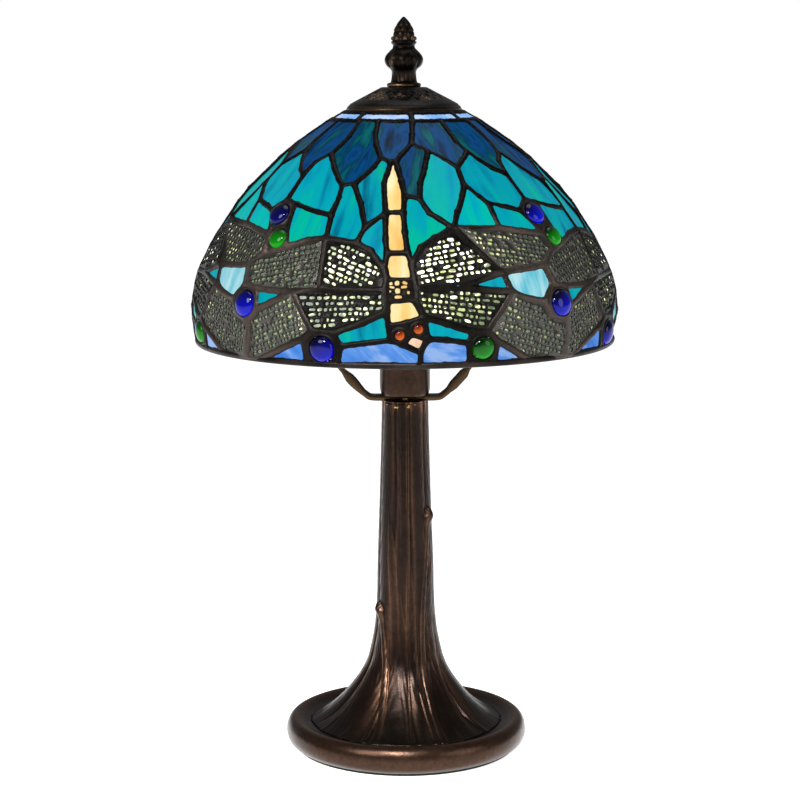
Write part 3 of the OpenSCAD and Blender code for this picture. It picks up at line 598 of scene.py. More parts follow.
CAP_METAL = metal("cap_bronze", (0.0013, 0.0012, 0.0012), (0.0035, 0.003, 0.0027), (0.36, 0.22, 0.12), 120,
                  (0.24, 0.4), 0.8, 0.2)
SADDLE_METAL = metal("saddle_bronze", (0.013, 0.008, 0.005), (0.034, 0.021, 0.012), (0.10, 0.06, 0.03), 150,
                     (0.28, 0.45), 0.9)
BRASS = metal("aged_brass", (0.10, 0.058, 0.022), (0.26, 0.155, 0.06), (0.62, 0.40, 0.16),
              150, (0.24, 0.42), 0.95)
BRIGHT_BRASS = metal("plain_brass", (0.45, 0.30, 0.12), (0.62, 0.44, 0.2), (0.7, 0.5, 0.25),
                     200, (0.2, 0.38), 1.0)
STEEL = metal("plated_steel", (0.35, 0.35, 0.34), (0.55, 0.55, 0.53), (0.6, 0.6, 0.6),
              200, (0.25, 0.42), 1.0)
BLACK_PLASTIC = plain_part("black_phenolic", (0.008, 0.007, 0.007), (0.022, 0.02, 0.018))
FELT = plain_part("green_felt", (0.006, 0.012, 0.007), (0.018, 0.03, 0.018), 900, (0.85, 1.0))
CARD = plain_part("insulating_card", (0.32, 0.24, 0.14), (0.46, 0.36, 0.22), 350, (0.7, 0.9))
FROSTED = plain_part("frosted_bulb", (0.9, 0.8, 0.6), (1.0, 0.9, 0.7), 120, (0.3, 0.45), 1.1)
FILAMENT = plain_part("bulb_inside", (0.9, 0.75, 0.45), (1.0, 0.85, 0.55), 120, (0.3, 0.45), 1.5)


# ---- stage, light and camera
def add_light(name, kind, place, target, power, **settings):
    data = bpy.data.lights.new(name, kind)
    data.energy = power
    for key, value in settings.items():
        setattr(data, key, value)
    lamp = bpy.data.objects.new(name, data)
    bpy.context.scene.collection.objects.link(lamp)
    lamp.location = place
    lamp.rotation_euler = (Vector(target) - Vector(place)).to_track_quat("-Z", "Y").to_euler()


def build_world():
    """A dim even light from all round, which the camera sees as white."""
    world = bpy.data.worlds.new("studio")
    bpy.context.scene.world = world
    world.use_nodes = True
    background = world.node_tree.nodes["Background"]
    background.inputs["Color"].default_value = (1, 1, 1, 1)
    seen = add(world.node_tree, "LightPath").outputs["Is Camera Ray"]
    world.node_tree.links.new(spread(world.node_tree, seen, 0.19, 1.0), background.inputs["Strength"])


def build_floor():
    floor_look, tree, bsdf = new_material("pale_floor")
    grain = noise(tree, place_of(tree), 3.0, 3.0)
    shade(tree, bsdf, Base_Color=ramp(tree, grain, [(0.3, (0.9, 0.9, 0.9)), (0.7, (0.93, 0.93, 0.93))]),
          Roughness=0.9, Specular_IOR_Level=0.1, Emission_Color=(1, 1, 1, 1), Emission_Strength=0.84)
    floor = lathe("floor", [(40000, -0.6), (40000, 0)], floor_look, 64)
    floor.data.polygons.foreach_set("use_smooth", [False] * len(floor.data.polygons))


def build_lights():
    """Three soft lights round the lamp and a narrow one on its foot."""
    for name, place, size, power in (("key", (-1.1, -1.3, 1.25), 0.9, 22),
                                     ("fill", (1.5, -1.0, 0.7), 1.1, 9), ("top", (0.1, 0.3, 1.9), 1.2, 8)):
        add_light(name, "AREA", place, (0, 0, 0.22), power, shape="DISK", size=size)
    add_light("foot", "SPOT", (-0.2, -1.0, 1.05), (0, -0.03, 0.05), 110,
              spot_size=math.radians(17), spot_blend=0.6, shadow_soft_size=0.12)


def build_camera():
    data = bpy.data.cameras.new("camera")
    data.lens = 98.2
    data.sensor_width = 36
    camera = bpy.data.objects.new("camera", data)
    bpy.context.scene.collection.objects.link(camera)
    camera.location = (-0.0036, -1.300, 0.4184)
    camera.rotation_euler = (math.radians(81.03), math.radians(0.2), math.radians(-0.058))
    bpy.context.scene.camera = camera


# ---- sheet glass of the shade
CHANCE = random.Random(11)


def glass_piece(node, cells, material):
    """Every pane of one kind of glass, flat in its cell's plane, in all four sectors."""
    lean, spread_deg = (60, 25) if node == "rim_glass" else (0, 10)
    points, faces, flows, tones = [], [], [], []
    for sector in range(SECTORS):
        for cell in cells:
            plane = cell_plane(cell)
            outline = shrink(flat_cell(cell, plane), PANE_INSET)
            n, first = len(outline), len(points)
            for h in (GLASS_T / 2, -GLASS_T / 2):
                points.extend(around(lifted(outline, plane, h), sector))
            faces.append(tuple(first + i for i in range(n)))
            faces.append(tuple(first + n + i for i in reversed(range(n))))
            for i in range(n):
                j = (i + 1) % n
                faces.append((first + i, first + n + i, first + n + j, first + j))
            turn = math.radians(lean + CHANCE.uniform(-spread_deg, spread_deg))
            across = outline @ np.array([math.cos(turn), math.sin(turn)])
            along = outline @ np.array([-math.sin(turn), math.cos(turn)])
            seed = CHANCE.uniform(0, 100)
            shift = CHANCE.uniform(-0.08, 0.08)
            level = CHANCE.uniform(0.9, 1.06)
            for _ in range(2):
                flows.extend(np.stack([across, along, 0 * across + seed], -1))
                tones.extend([[shift, level, 0]] * n)
    make(node + "_panes", points, faces, material, "shade", node, node,
         smooth=False, flow=flows, tone=tones)


def band_piece():
    """The pale band under the cap, eight bent pieces of glass."""
    points, faces, flows, tones = [], [], [], []
    low, high, skin = 165.7, 172.8, 0.5
    for k in range(2 * SECTORS):
        start = crossing(0 if k % 2 == 0 else 4)[0] + PITCH * (k // 2)
        span = BAND_SPLIT if k % 2 == 0 else PITCH - BAND_SPLIT
        az = np.linspace(start + 0.9, start + span - 0.9, 24)
        first, columns = len(points), len(az)
        seed, shift = CHANCE.uniform(0, 100), CHANCE.uniform(-0.1, 0.15)
        for s, depth in ((low, skin), (high, skin), (high, skin + GLASS_T), (low, skin + GLASS_T)):
            points.extend(on_dome(az, np.full(columns, s), depth))
            flows.extend(np.stack([0 * az + s, az * 0.62, 0 * az + seed], -1))
            tones.extend([[shift, 1.0, 0]] * columns)
        for row in range(4):
            for j in range(columns - 1):
                a, b = first + row * columns + j, first + (row + 1) % 4 * columns + j
                faces.append((a, a + 1, b + 1, b))
        ends = [[first + row * columns + j for row in range(4)] for j in (0, columns - 1)]
        faces.append(tuple(ends[0]))
        faces.append(tuple(reversed(ends[1])))
    make("band_glass_panes", points, faces, BAND, "shade", "band_glass", "band_glass",
         smooth=False, flow=flows, tone=tones)


# ---- pierced metal
def cut_sheet(outline, holes, inner=()):
    """Triangles of a flat outline with holes, and where each hole's corners ended up."""
    corners = [tuple(p) for p in outline]
    edges = [(i, (i + 1) % len(outline)) for i in range(len(outline))]
    spans = []
    for hole in holes:
        first, n = len(corners), len(hole)
        corners.extend(tuple(p) for p in hole)
        edges.extend((first + i, first + (i + 1) % n) for i in range(n))
        spans.append((first, n))
    corners.extend(tuple(p) for p in inner)
    made = delaunay_2d_cdt([Vector(p) for p in corners], edges, [], 2, 1e-5, True)
    home = {}
    for new, olds in enumerate(made[3]):
        for old in olds:
            home[old] = new
    rings = [[home[first + i] for i in range(n) if first + i in home] for first, n in spans]
    owner = {corner: k for k, ring in enumerate(rings) for corner in ring}
    triangles = [tuple(f) for f in made[2] if len({owner.get(i, -1 - i) for i in f}) > 1]
    return np.array([tuple(p) for p in made[0]]), triangles, rings


def rounded_hole(centre, half_long, half_wide, tilt, chance, corners=10):
    """An uneven rounded oblong."""
    t = full_turn(corners) + 0.3
    c, s = np.cos(t), np.sin(t)
    x = half_long * np.sign(c) * np.abs(c) ** 0.7
    y = half_wide * np.sign(s) * np.abs(s) ** 0.7
    wobble = np.array([chance.uniform(0.88, 1.08) for _ in t])
    turn = np.array([[math.cos(tilt), math.sin(tilt)], [-math.sin(tilt), math.cos(tilt)]])
    return np.asarray(centre) + np.stack([x * wobble, y * wobble], -1) @ turn


def wing_holes(outline, chance, near):
    """Rows of openings that follow the length of a wing cell, larger where the cell is near the body."""
    middle = outline.mean(0)
    along = np.linalg.svd(outline - middle)[2][0]
    side = np.array([-along[1], along[0]])
    tilt = math.atan2(along[1], along[0])
    wide = 0.93 + 0.14 * near
    holes = []
    for row in range(-11, 12):
        x = -34 + chance.uniform(0, 3)
        bend = chance.uniform(-0.25, 0.25)
        while x < 34:
            half_long = wide * chance.choice((0.7, 0.9, 1.1, 1.4, 1.8, 2.3 if near > 0.5 else 1.2))
            half_wide = wide * chance.uniform(0.72, 1.12)
            x += half_long
            height = row * (wide * 2.0 + 0.85) + bend + 0.0004 * x * x * row + chance.uniform(-0.28, 0.28)
            centre = middle + x * along + height * side
            room = room_inside(centre, outline)
            if room > 0.95 + 0.62 * half_long and chance.random() > 0.06:
                slant = tilt + chance.uniform(-0.2, 0.2)
                holes.append(rounded_hole(centre, half_long, half_wide, slant, chance))
            x += half_long + chance.uniform(0.5, 1.15)
    return holes


def thorax_openings(plane, chance):
    holes = []
    for (a, s), long_half, wide_half, tilt in THORAX_HOLES:
        centre = spot_in(plane, a, s)
        holes.append(rounded_hole(centre, long_half, wide_half, math.radians(tilt), chance, 12))
    return holes


def pierced_piece(name, node, cells, holes_of, top, tone_of, look):
    """Cast metal laid over the glass: a face with openings whose walls slope down to the glass."""
    points, faces, worn = [], [], []
    for sector in range(SECTORS):
        chance = random.Random(100 * sector + len(node))
        for number, cell in enumerate(cells):
            plane = cell_plane(cell)
            outline = shrink(flat_cell(cell, plane), 0.35)
            holes = holes_of(number, outline, plane, chance)
            flat_points, triangles, rings = cut_sheet(outline, holes)
            first = len(points)
            swell = 0.12 * np.sin(flat_points[:, 0] * 1.1) * np.sin(flat_points[:, 1] * 1.3 + sector)
            points.extend(around(lifted(flat_points, plane, GLASS_T / 2 + top + swell), sector))
            tone = tone_of(number)
            worn.extend([tone] * len(flat_points))
            faces.extend(from_point(first, triangles))
            for ring in rings:
                edge = flat_points[ring]
                middle = edge.mean(0)
                low = len(points)
                foot = middle + (edge - middle) * 0.84
                points.extend(around(lifted(foot, plane, GLASS_T / 2 - 0.05), sector))
                worn.extend([tone * 0.3] * len(ring))
                for i in range(len(ring)):
                    j = (i + 1) % len(ring)
                    faces.append((first + ring[j], first + ring[i], low + i, low + j))
    make(name, points, faces, look, "shade", node, node, worn=worn)


# how near each wing cell lies to the dragonfly's body: 1 at the body, 0 at the tip
WING_NEAR = [1, 0.25, 1, 0.2, 1, 0.3, 1, 0.2]
WING_LIGHT = [1.0, 0.62, 0.52, 0.6, 1.7, 0.7, 0.66, 0.55]


def wing_panes():
    """Glass behind the pierced wings, with its light fading from the body to the tips."""
    points, faces, flows, tones = [], [], [], []
    for sector in range(SECTORS):
        for number, cell in enumerate(WING_CELLS):
            plane = cell_plane(cell)
            outline = shrink(flat_cell(cell, plane), 0.9)
            low, high = outline.min(0), outline.max(0)
            inner = [(x, y) for x in np.arange(low[0], high[0], 4) for y in np.arange(low[1], high[1], 4)
                     if room_inside(np.array([x, y]), outline) > 1.5]
            flat_points, triangles, _ = cut_sheet(outline, [], inner)
            first, n = len(points), len(flat_points)
            body = spot_in(plane, -1.5, 52.0)
            reach = np.linalg.norm(flat_points - body, axis=1)
            fade = np.clip(1.25 - reach / 75, 0.25, 1)
            for h in (GLASS_T / 2, -GLASS_T / 2):
                points.extend(around(lifted(flat_points, plane, h), sector))
                flows.extend(np.column_stack([flat_points, np.full(n, 13.0 * number + 5 * sector)]))
                tones.extend(np.column_stack([0 * fade, WING_LIGHT[number] * fade, 0 * fade]))
            faces.extend(from_point(first, triangles))
            faces.extend(from_point(first + n, [f[::-1] for f in triangles]))
    make("wing_glass_panes", points, faces, WINGS, "shade", "wing_glass", "wing_glass",
         smooth=False, flow=flows, tone=tones)


# ---- the soldered lead came
def lead_lines():
    """Every side of every cell once, turned into the first sector, with its extra half width."""
    lines = {}
    for cell in ALL_CELLS + [stone[0] for stone in STONES]:
        extra = 0.5 if cell in WING_CELLS else 0.3 if cell in SKY_CELLS else 0.0
        for i in range(len(cell)):
            ends = np.array([crossing(cell[i - 1]), crossing(cell[i])])
            ends[:, 0] -= PITCH * round(ends[:, 0].mean() / PITCH)
            key = tuple(sorted((round(a, 2), s) for a, s in ends))
            lines[key] = max(lines.get(key, 0.0), extra)
    for ends in ((53, 54), (57, 58)):
        lines[tuple(sorted(crossing(k) for k in ends))] = -1.0
    return lines


def grid_in(cell, a_grid, s_grid):
    """The grid's points inside a cell and its neighbours a sector away, as seen from the cell's sector."""
    outline = cell_outline(cell)
    for shift in (-PITCH, 0, PITCH):
        here = inside(outline, a_grid - shift, s_grid)
        if here.any():
            yield here, a_grid[here] - shift, s_grid[here]


def came_fields(az, s):
    """Height of the solder over the glass, depth of the glass under the dome, and wear, on a grid."""
    a_grid, s_grid = np.meshgrid(az, s)
    scale = np.radians(r_at(s_grid))
    total, brown = np.zeros_like(a_grid), np.zeros_like(a_grid)
    for (p, q), extra in lead_lines().items():
        for shift in (-PITCH, 0, PITCH):
            pa, qa = p[0] + shift, q[0] + shift
            rows = (s > min(p[1], q[1]) - 9) & (s < max(p[1], q[1]) + 9)
            reach = 9 / math.radians(r_at(max(p[1], q[1])))
            columns = (az > min(pa, qa) - reach) & (az < max(pa, qa) + reach)
            if not rows.any() or not columns.any():
                continue
            window = np.ix_(rows, columns)
            k = scale[window]
            px, py = (pa - a_grid[window]) * k, p[1] - s_grid[window]
            dx, dy = (qa - pa) * k, q[1] - p[1]
            t = np.clip(-(px * dx + py * dy) / (dx * dx + dy * dy), 0, 1)
            distance = np.hypot(px + t * dx, py + t * dy) - extra
            total[window] += np.exp(-distance / BLEND)
            stain = max(extra, 0) * 1.3 * np.exp(-np.maximum(distance, 0) / 3)
            brown[window] = np.maximum(brown[window], stain)
    distance = -BLEND * np.log(total + 1e-12)
    turn = np.radians(a_grid)
    drift = (np.sin(28 * turn + 0.35 * s_grid) * np.sin(52 * turn - 0.21 * s_grid)
             + 0.6 * np.sin(84 * turn + 0.9 * s_grid + 2) * np.sin(64 * turn - 0.6 * s_grid))
    half = HALF_LEAD * (1 + 0.07 * drift)
    bead = np.where(distance < half, BEAD * (1 - (np.maximum(distance, 0) / half) ** 2),
                    -(distance - half) * 1.4)
    bead += 0.09 * drift * (distance < half)
    depth = np.full_like(a_grid, 0.5)
    for cell in FLAT_CELLS + [stone[0] for stone in STONES]:
        mid, _, _, out = cell_plane(cell)
        for here, a, height in grid_in(cell, a_grid, s_grid):
            gap = (mid + out * GLASS_T / 2 - on_dome(a, height)) @ out
            depth[here] = -gap / (out_dir(a, height) @ out)
    depth = blurred(depth, s)
    for cell, (sa, ss), radius in STONES:
        for here, a, height in grid_in(cell, a_grid, s_grid):
            out = np.hypot((a - sa) * math.radians(r_at(ss)), height - ss) - radius
            fill = 0.55 + 0.1 * drift[here] + 0.75 * np.exp(-((out - 0.9) / 0.75) ** 2)
            both = np.maximum(bead[here], fill)
            bead[here] = np.where(out < 0.25, np.minimum(both, out * 3.5), both)
            brown[here] = np.maximum(brown[here], 0.3)
    brown *= np.clip((np.abs(a_grid + 1.5) - 20) / 14, 0.05, 1)
    return bead, depth, brown


def blurred(field, s):
    """The field smoothed over about 1.5 mm, closed on itself sideways."""
    rows = np.pad(field, ((6, 6), (0, 0)), mode="edge")
    kernel = np.exp(-0.5 * (np.arange(-6, 7) * S_STEP / 1.5) ** 2)
    kernel /= kernel.sum()
    made = sum(w * rows[i:i + len(field)] for i, w in enumerate(kernel))
    turns = np.fft.rfftfreq(field.shape[1])
    for i, height in enumerate(s):
        sigma = 1.5 / (math.radians(float(r_at(height))) * PITCH / field.shape[1])
        fade = np.exp(-2 * (np.pi * turns * sigma) ** 2)
        made[i] = np.fft.irfft(np.fft.rfft(made[i]) * fade, field.shape[1])
    return made


def skin(az, s, height, keep, flip):
    """One face of the came round the whole dome: points, faces and which grid point each came from."""
    a_grid, s_grid = np.meshgrid(az, s)
    surface = on_dome(a_grid, s_grid) + height[..., None] * out_dir(a_grid, s_grid)
    whole = np.concatenate([around(surface, k) for k in range(SECTORS)], axis=1)
    kept = np.tile(keep, (1, SECTORS))
    number = np.cumsum(kept.ravel()).reshape(kept.shape) - 1
    right = np.roll(number, -1, axis=1)
    full = kept[:-1] & kept[1:] & np.roll(kept, -1, axis=1)[:-1] & np.roll(kept, -1, axis=1)[1:]
    quads = np.stack([number[:-1], right[:-1], right[1:], number[1:]], -1)[full]
    if flip:
        quads = quads[:, ::-1]
    return whole[kept], quads, kept


def came_piece():
    az = np.arange(-PITCH / 2, PITCH / 2, AZ_STEP)
    s = np.arange(1.0, TOP_S + 0.3, S_STEP)
    bead, depth, brown = came_fields(az, s)
    outer = skin(az, s, bead - depth, bead > -0.8, False)
    coarse = (slice(None, None, 2), slice(None, None, 2))
    inner_bead = bead[coarse]
    inner_height = -depth[coarse] - GLASS_T - np.where(inner_bead > 0, 0.6, 1.0) * inner_bead
    inner = skin(az[::2], s[::2], inner_height, inner_bead > -0.8, True)
    points = np.vstack([outer[0], inner[0]])
    faces = np.vstack([outer[1], inner[1] + len(outer[0])])
    worn = np.concatenate([np.tile(brown, (1, SECTORS))[outer[2]],
                           np.tile(brown[coarse], (1, SECTORS))[inner[2]]])
    make("lead_came_solder", points, faces.tolist(), LEAD, "shade", "lead_came", "lead_came", worn=worn)


# ---- stones
# one stone stands away from the bulb's light: its sector, its azimuth in the layout, and its level
UNLIT_STONE, UNLIT = (3, 46), 0.06


def stones_piece(name, node, stones, material):
    """Domed glass stones set in the solder."""
    points, faces, gems, lit = [], [], [], []
    columns = 40
    turn = full_turn(columns)
    for sector in range(SECTORS):
        for cell, (a, s), radius in stones:
            plane = cell_plane(cell)
            centre = spot_in(plane, a, s)
            base = GLASS_T / 2 + 0.5
            rings = [(0.9, -GLASS_T / 2), (1, -GLASS_T / 2 + 0.4), (1, base)]
            for lift in np.linspace(0.08, 0.5, 10) * math.pi:
                share = math.cos(lift) ** 0.9 if lift < 1.56 else 0.02
                rings.append((share, base + 0.52 * radius * math.sin(lift)))
            first = len(points)
            level = UNLIT if (sector, a) == UNLIT_STONE else CHANCE.uniform(0.85, 1.05)
            lit.extend([level] * columns * len(rings))
            for share, h in rings:
                ring = centre + share * radius * ring_points(1, turn)
                points.extend(around(lifted(ring, plane, h), sector))
                gems.extend(np.column_stack([ring_points(share, turn), 0 * turn + h / radius]))
            faces.extend(from_point(first, lathe_rows(len(rings), columns, CLOSED)))
    make(name, points, faces, material, "shade", node, node, gem=gems, lit=lit)


# ---- rings and cap of the shade
def rim_piece():
    r, z = float(r_at(0)), SHADE_Z
    outline = [(r - 3.6, z + 2.6), (r - 4.1, z + 1), (r - 3.4, z - 0.1), (r - 1.6, z - 0.45),
               (r + 0.2, z - 0.2), (r + 1.1, z + 0.8), (r + 1.3, z + 2.0), (r + 0.7, z + 3.0),
               (r - 0.9, z + 3.1)]
    piece = lathe("rim_band_rolled", smooth_line(outline, 4), LEAD, 240, OPEN)
    turn = np.array([v.co.xy.angle_signed(Vector((1, 0)), 0.0) for v in piece.data.vertices])
    store(piece, "worn", 0.14 + 0.14 * np.sin(9 * turn) * np.sin(14 * turn + 1))
    fit(piece, "shade", "rim_band", "rim_band")


def cap_height(r):
    return np.interp(r, [0, 13.2, 13.9, 31.4, 32], [400, 400, 399.75, 390.6, 390.1])


def cap_piece():
    """A shallow spun cone with three rings of round holes and a bevelled skirt."""
    turn = full_turn(120)
    edge = ring_points(32, turn)
    hole = ring_points(1, full_turn(12))
    holes = [ring_points(3.7, turn[::5])]
    for ring in range(3):
        for k in range(24):
            a = (k + ring % 2 / 2) * 2 * math.pi / 24
            holes.append(1.12 * hole + (19 + 3 * ring) * np.array([math.cos(a), math.sin(a)]))
    inner = [(r * math.cos(a), r * math.sin(a)) for r in (8, 13.2, 13.9, 16, 27.5, 30) for a in turn[::2]]
    flat_points, triangles, rings = cut_sheet(edge, holes, inner)
    r = np.hypot(flat_points[:, 0], flat_points[:, 1])
    points = np.column_stack([flat_points, cap_height(r)]).tolist()
    rim = [int(np.argmin(np.hypot(*(flat_points - e).T))) for e in edge]
    faces = list(triangles)
    for radius, z in ((32.5, 389.4), (33.2, 388.9), (33.6, 388.2), (34.3, 386.9)):
        first = len(points)
        points.extend([radius * math.cos(t), radius * math.sin(t), z] for t in turn)
        new = [first + i for i in range(len(turn))]
        faces.extend(zip(rim, new, new[1:] + new[:1], rim[1:] + rim[:1]))
        rim = new
    piece = mesh_piece("heat_cap_pierced", points, faces, CAP_METAL)
    # A lighter ring on the shoulder; painted light showing through the holes, put on the rims of some holes
    # at random; painted highlights on the skirt, brighter in three places round it.
    worn = np.exp(-((r - 13.6) / 0.5) ** 2) * 0.15
    chance = random.Random(3)
    for ring in rings:
        worn[ring] = chance.choice((0.0, 0.0, 0.05, 0.3))
    edge_worn = np.concatenate([v * (1 + 0.8 * np.sin(3 * turn + 2)) for v in (0.04, 0.1, 0.08, 0.1)])
    store(piece, "worn", np.concatenate([worn, edge_worn]))
    shell = piece.modifiers.new("wall", "SOLIDIFY")
    shell.thickness = 0.9 * MM
    shell.offset = -1
    fit(piece, "shade", "heat_cap", "heat_cap")


def top_ring_piece():
    outline = [(30.7, 382.4), (31.2, 381.9), (31.9, 382.3), (32.2, 384.6), (34.9, 385.4), (35.3, 386.1),
               (34.9, 386.75), (31.2, 386.8), (30.7, 386)]
    piece = lathe("top_ring_rolled", smooth_line(outline, 3), LEAD, 144, OPEN)
    fit(piece, "shade", "top_ring", "top_ring")


# ---- finial
FINIAL_LINE = [(9.4, 400.1), (10, 400.7), (10, 401.7), (9.5, 402.3), (8.1, 402.7), (7.4, 404), (7, 406),
               (7, 408), (7.5, 409.8), (8.6, 411), (10, 412.2), (11, 414), (11.3, 416), (10.8, 418),
               (9.6, 419.8), (8, 421.4), (6.8, 422.6), (6.4, 423.8), (6.7, 424.8), (7.4, 425.6),
               (7.5, 426.4), (6.6, 427), (6.2, 428.4), (6.1, 429.6), (6.1, 430.6), (5.9, 431.8),
               (5.3, 433.6), (4.4, 435.6), (3.2, 437.8), (1.9, 439.7), (0.8, 440.8), (0.1, 441)]


def finial_piece():
    line = smooth_line(FINIAL_LINE, 5)
    columns = 144
    turn = full_turn(columns)
    points, worn = [], []
    for r, z in line:
        lobes = np.abs(np.sin(5 * turn + 0.3)) ** 0.5
        belly = math.exp(-((z - 415.5) / 3.9) ** 4)
        shape = belly * 1.15 * (lobes - 0.75)
        neck = math.exp(-((z - 406) / 2.4) ** 4)
        shape = shape + neck * 0.25 * np.cos(12 * turn)
        bud = np.zeros(columns)
        for row in range(3):
            t = (z - 429.2 - 3.3 * row) / 5.4
            if 0 <= t <= 1:
                half = 0.56 * (1 - t ** 1.7) + 0.02
                gap = 1.5 * np.abs((turn + row * math.pi / 8 + math.pi) % (math.pi / 4) - math.pi / 8)
                swell = 0.35 + 0.65 * math.sin(math.pi * min(1, t + 0.25))
                leaf = np.clip(1 - (gap / half) ** 2, 0, 1) ** 0.6 * swell
                bud = np.maximum(bud, leaf * min(1, (441.2 - z) / 4))
        radius = r + shape + 0.55 * (bud - 0.3) * (z > 429.2)
        radius = np.maximum(radius, 0.05)
        points.extend(np.column_stack([ring_points(radius, turn), 0 * turn + z]))
        # Painted highlights: copper streaks on the lobe crests, stronger on two opposite sides, and two
        # bright patches round the foot ring; the bud's scale tips and the neck are a little lighter.
        glint = belly * np.clip(lobes - 0.93, 0, 1) * 7 * (0.5 + 0.5 * np.sin(2 * turn + 1))
        flange = 0.35 * math.exp(-((z - 401.3) / 0.7) ** 2) * (1 + np.sin(2 * turn))
        worn.extend(np.clip(glint + bud ** 3 * 0.1 + neck * 0.05 + flange, 0.01, 1))
    make("finial_cast", points, lathe_rows(len(line), columns, CLOSED), CAP_METAL,
         "finial_body", "finial", "finial", worn=worn)


def ball(points, faces, centre, radius, rings=8, columns=12):
    first = len(points)
    for i in range(rings + 1):
        lift = math.pi * (i / rings - 0.5)
        for x, y in ring_points(radius * max(0.02, math.cos(lift)), full_turn(columns)):
            points.append([centre[0] + x, centre[1] + y, centre[2] + radius * math.sin(lift)])
    faces.extend(from_point(first, lathe_rows(rings + 1, columns, CLOSED)))


def finial_beads():
    points, faces = [], []
    for k in range(8):
        t = 2 * math.pi * (k + 0.12) / 8
        ball(points, faces, (6.3 * math.cos(t), 6.3 * math.sin(t), 428.3), 1.35)
    make("finial_beads", points, faces, CAP_METAL, "finial_body", "finial", worn=[0.3] * len(points))


# ---- cast base
BARK = [(15, 58.6), (15.6, 56.8), (17.6, 52.6), (20.5, 48), (24.5, 43), (29, 38.4), (34, 34.2),
        (39, 30.4), (44, 27.1), (49, 24.4), (54, 22.4), (60, 20.9), (69, 19), (80, 17.6), (95, 16.8),
        (115, 16.5), (149, 15.3), (190, 14.1), (214, 13.6)]
# valleys between the stalks round the trunk, in degrees from the front towards +X
VALLEYS = [-168, -122, -74, -25, 9, 54, 102, 148]
# leaf blades laid over the stalks: azimuth at the foot and at the tip, height of the tip, half width, lift
BLADES = [(-14, -41, 152, 3.4, 0.55), (-38, -58, 132, 3.8, 0.4), (-8, -12, 230, 1.1, 0.35),
          (4, 6, 230, 1.0, 0.3), (-2, -16, 108, 3.2, 0.6), (24, 62, 149, 2.1, 1.1),
          (-20, -66, 91, 2.2, 1.1), (12, 10, 118, 3.2, 0.5), (44, 74, 128, 4.0, 0.5),
          (92, 112, 158, 3.8, 0.5), (-86, -108, 132, 4.4, 0.5), (-120, -132, 108, 4.2, 0.6),
          (124, 138, 96, 2.4, 1.0), (150, 160, 140, 4.2, 0.5), (-158, -150, 152, 4.0, 0.5),
          (178, 172, 116, 4.4, 0.6), (-63, -58, 42, 1.5, 0.6), (-44, -40, 46, 1.4, 0.7),
          (-27, -21, 50, 1.3, 0.8), (2, -4, 44, 1.4, 0.8), (19, 13, 50, 1.2, 0.8),
          (36, 30, 42, 1.4, 0.7), (58, 52, 46, 1.6, 0.6), (84, 80, 44, 1.4, 0.7),
          (112, 108, 46, 1.5, 0.7), (141, 146, 44, 1.4, 0.7), (-94, -90, 45, 1.5, 0.7),
          (-138, -132, 43, 1.4, 0.7), (-176, -170, 46, 1.5, 0.7)]


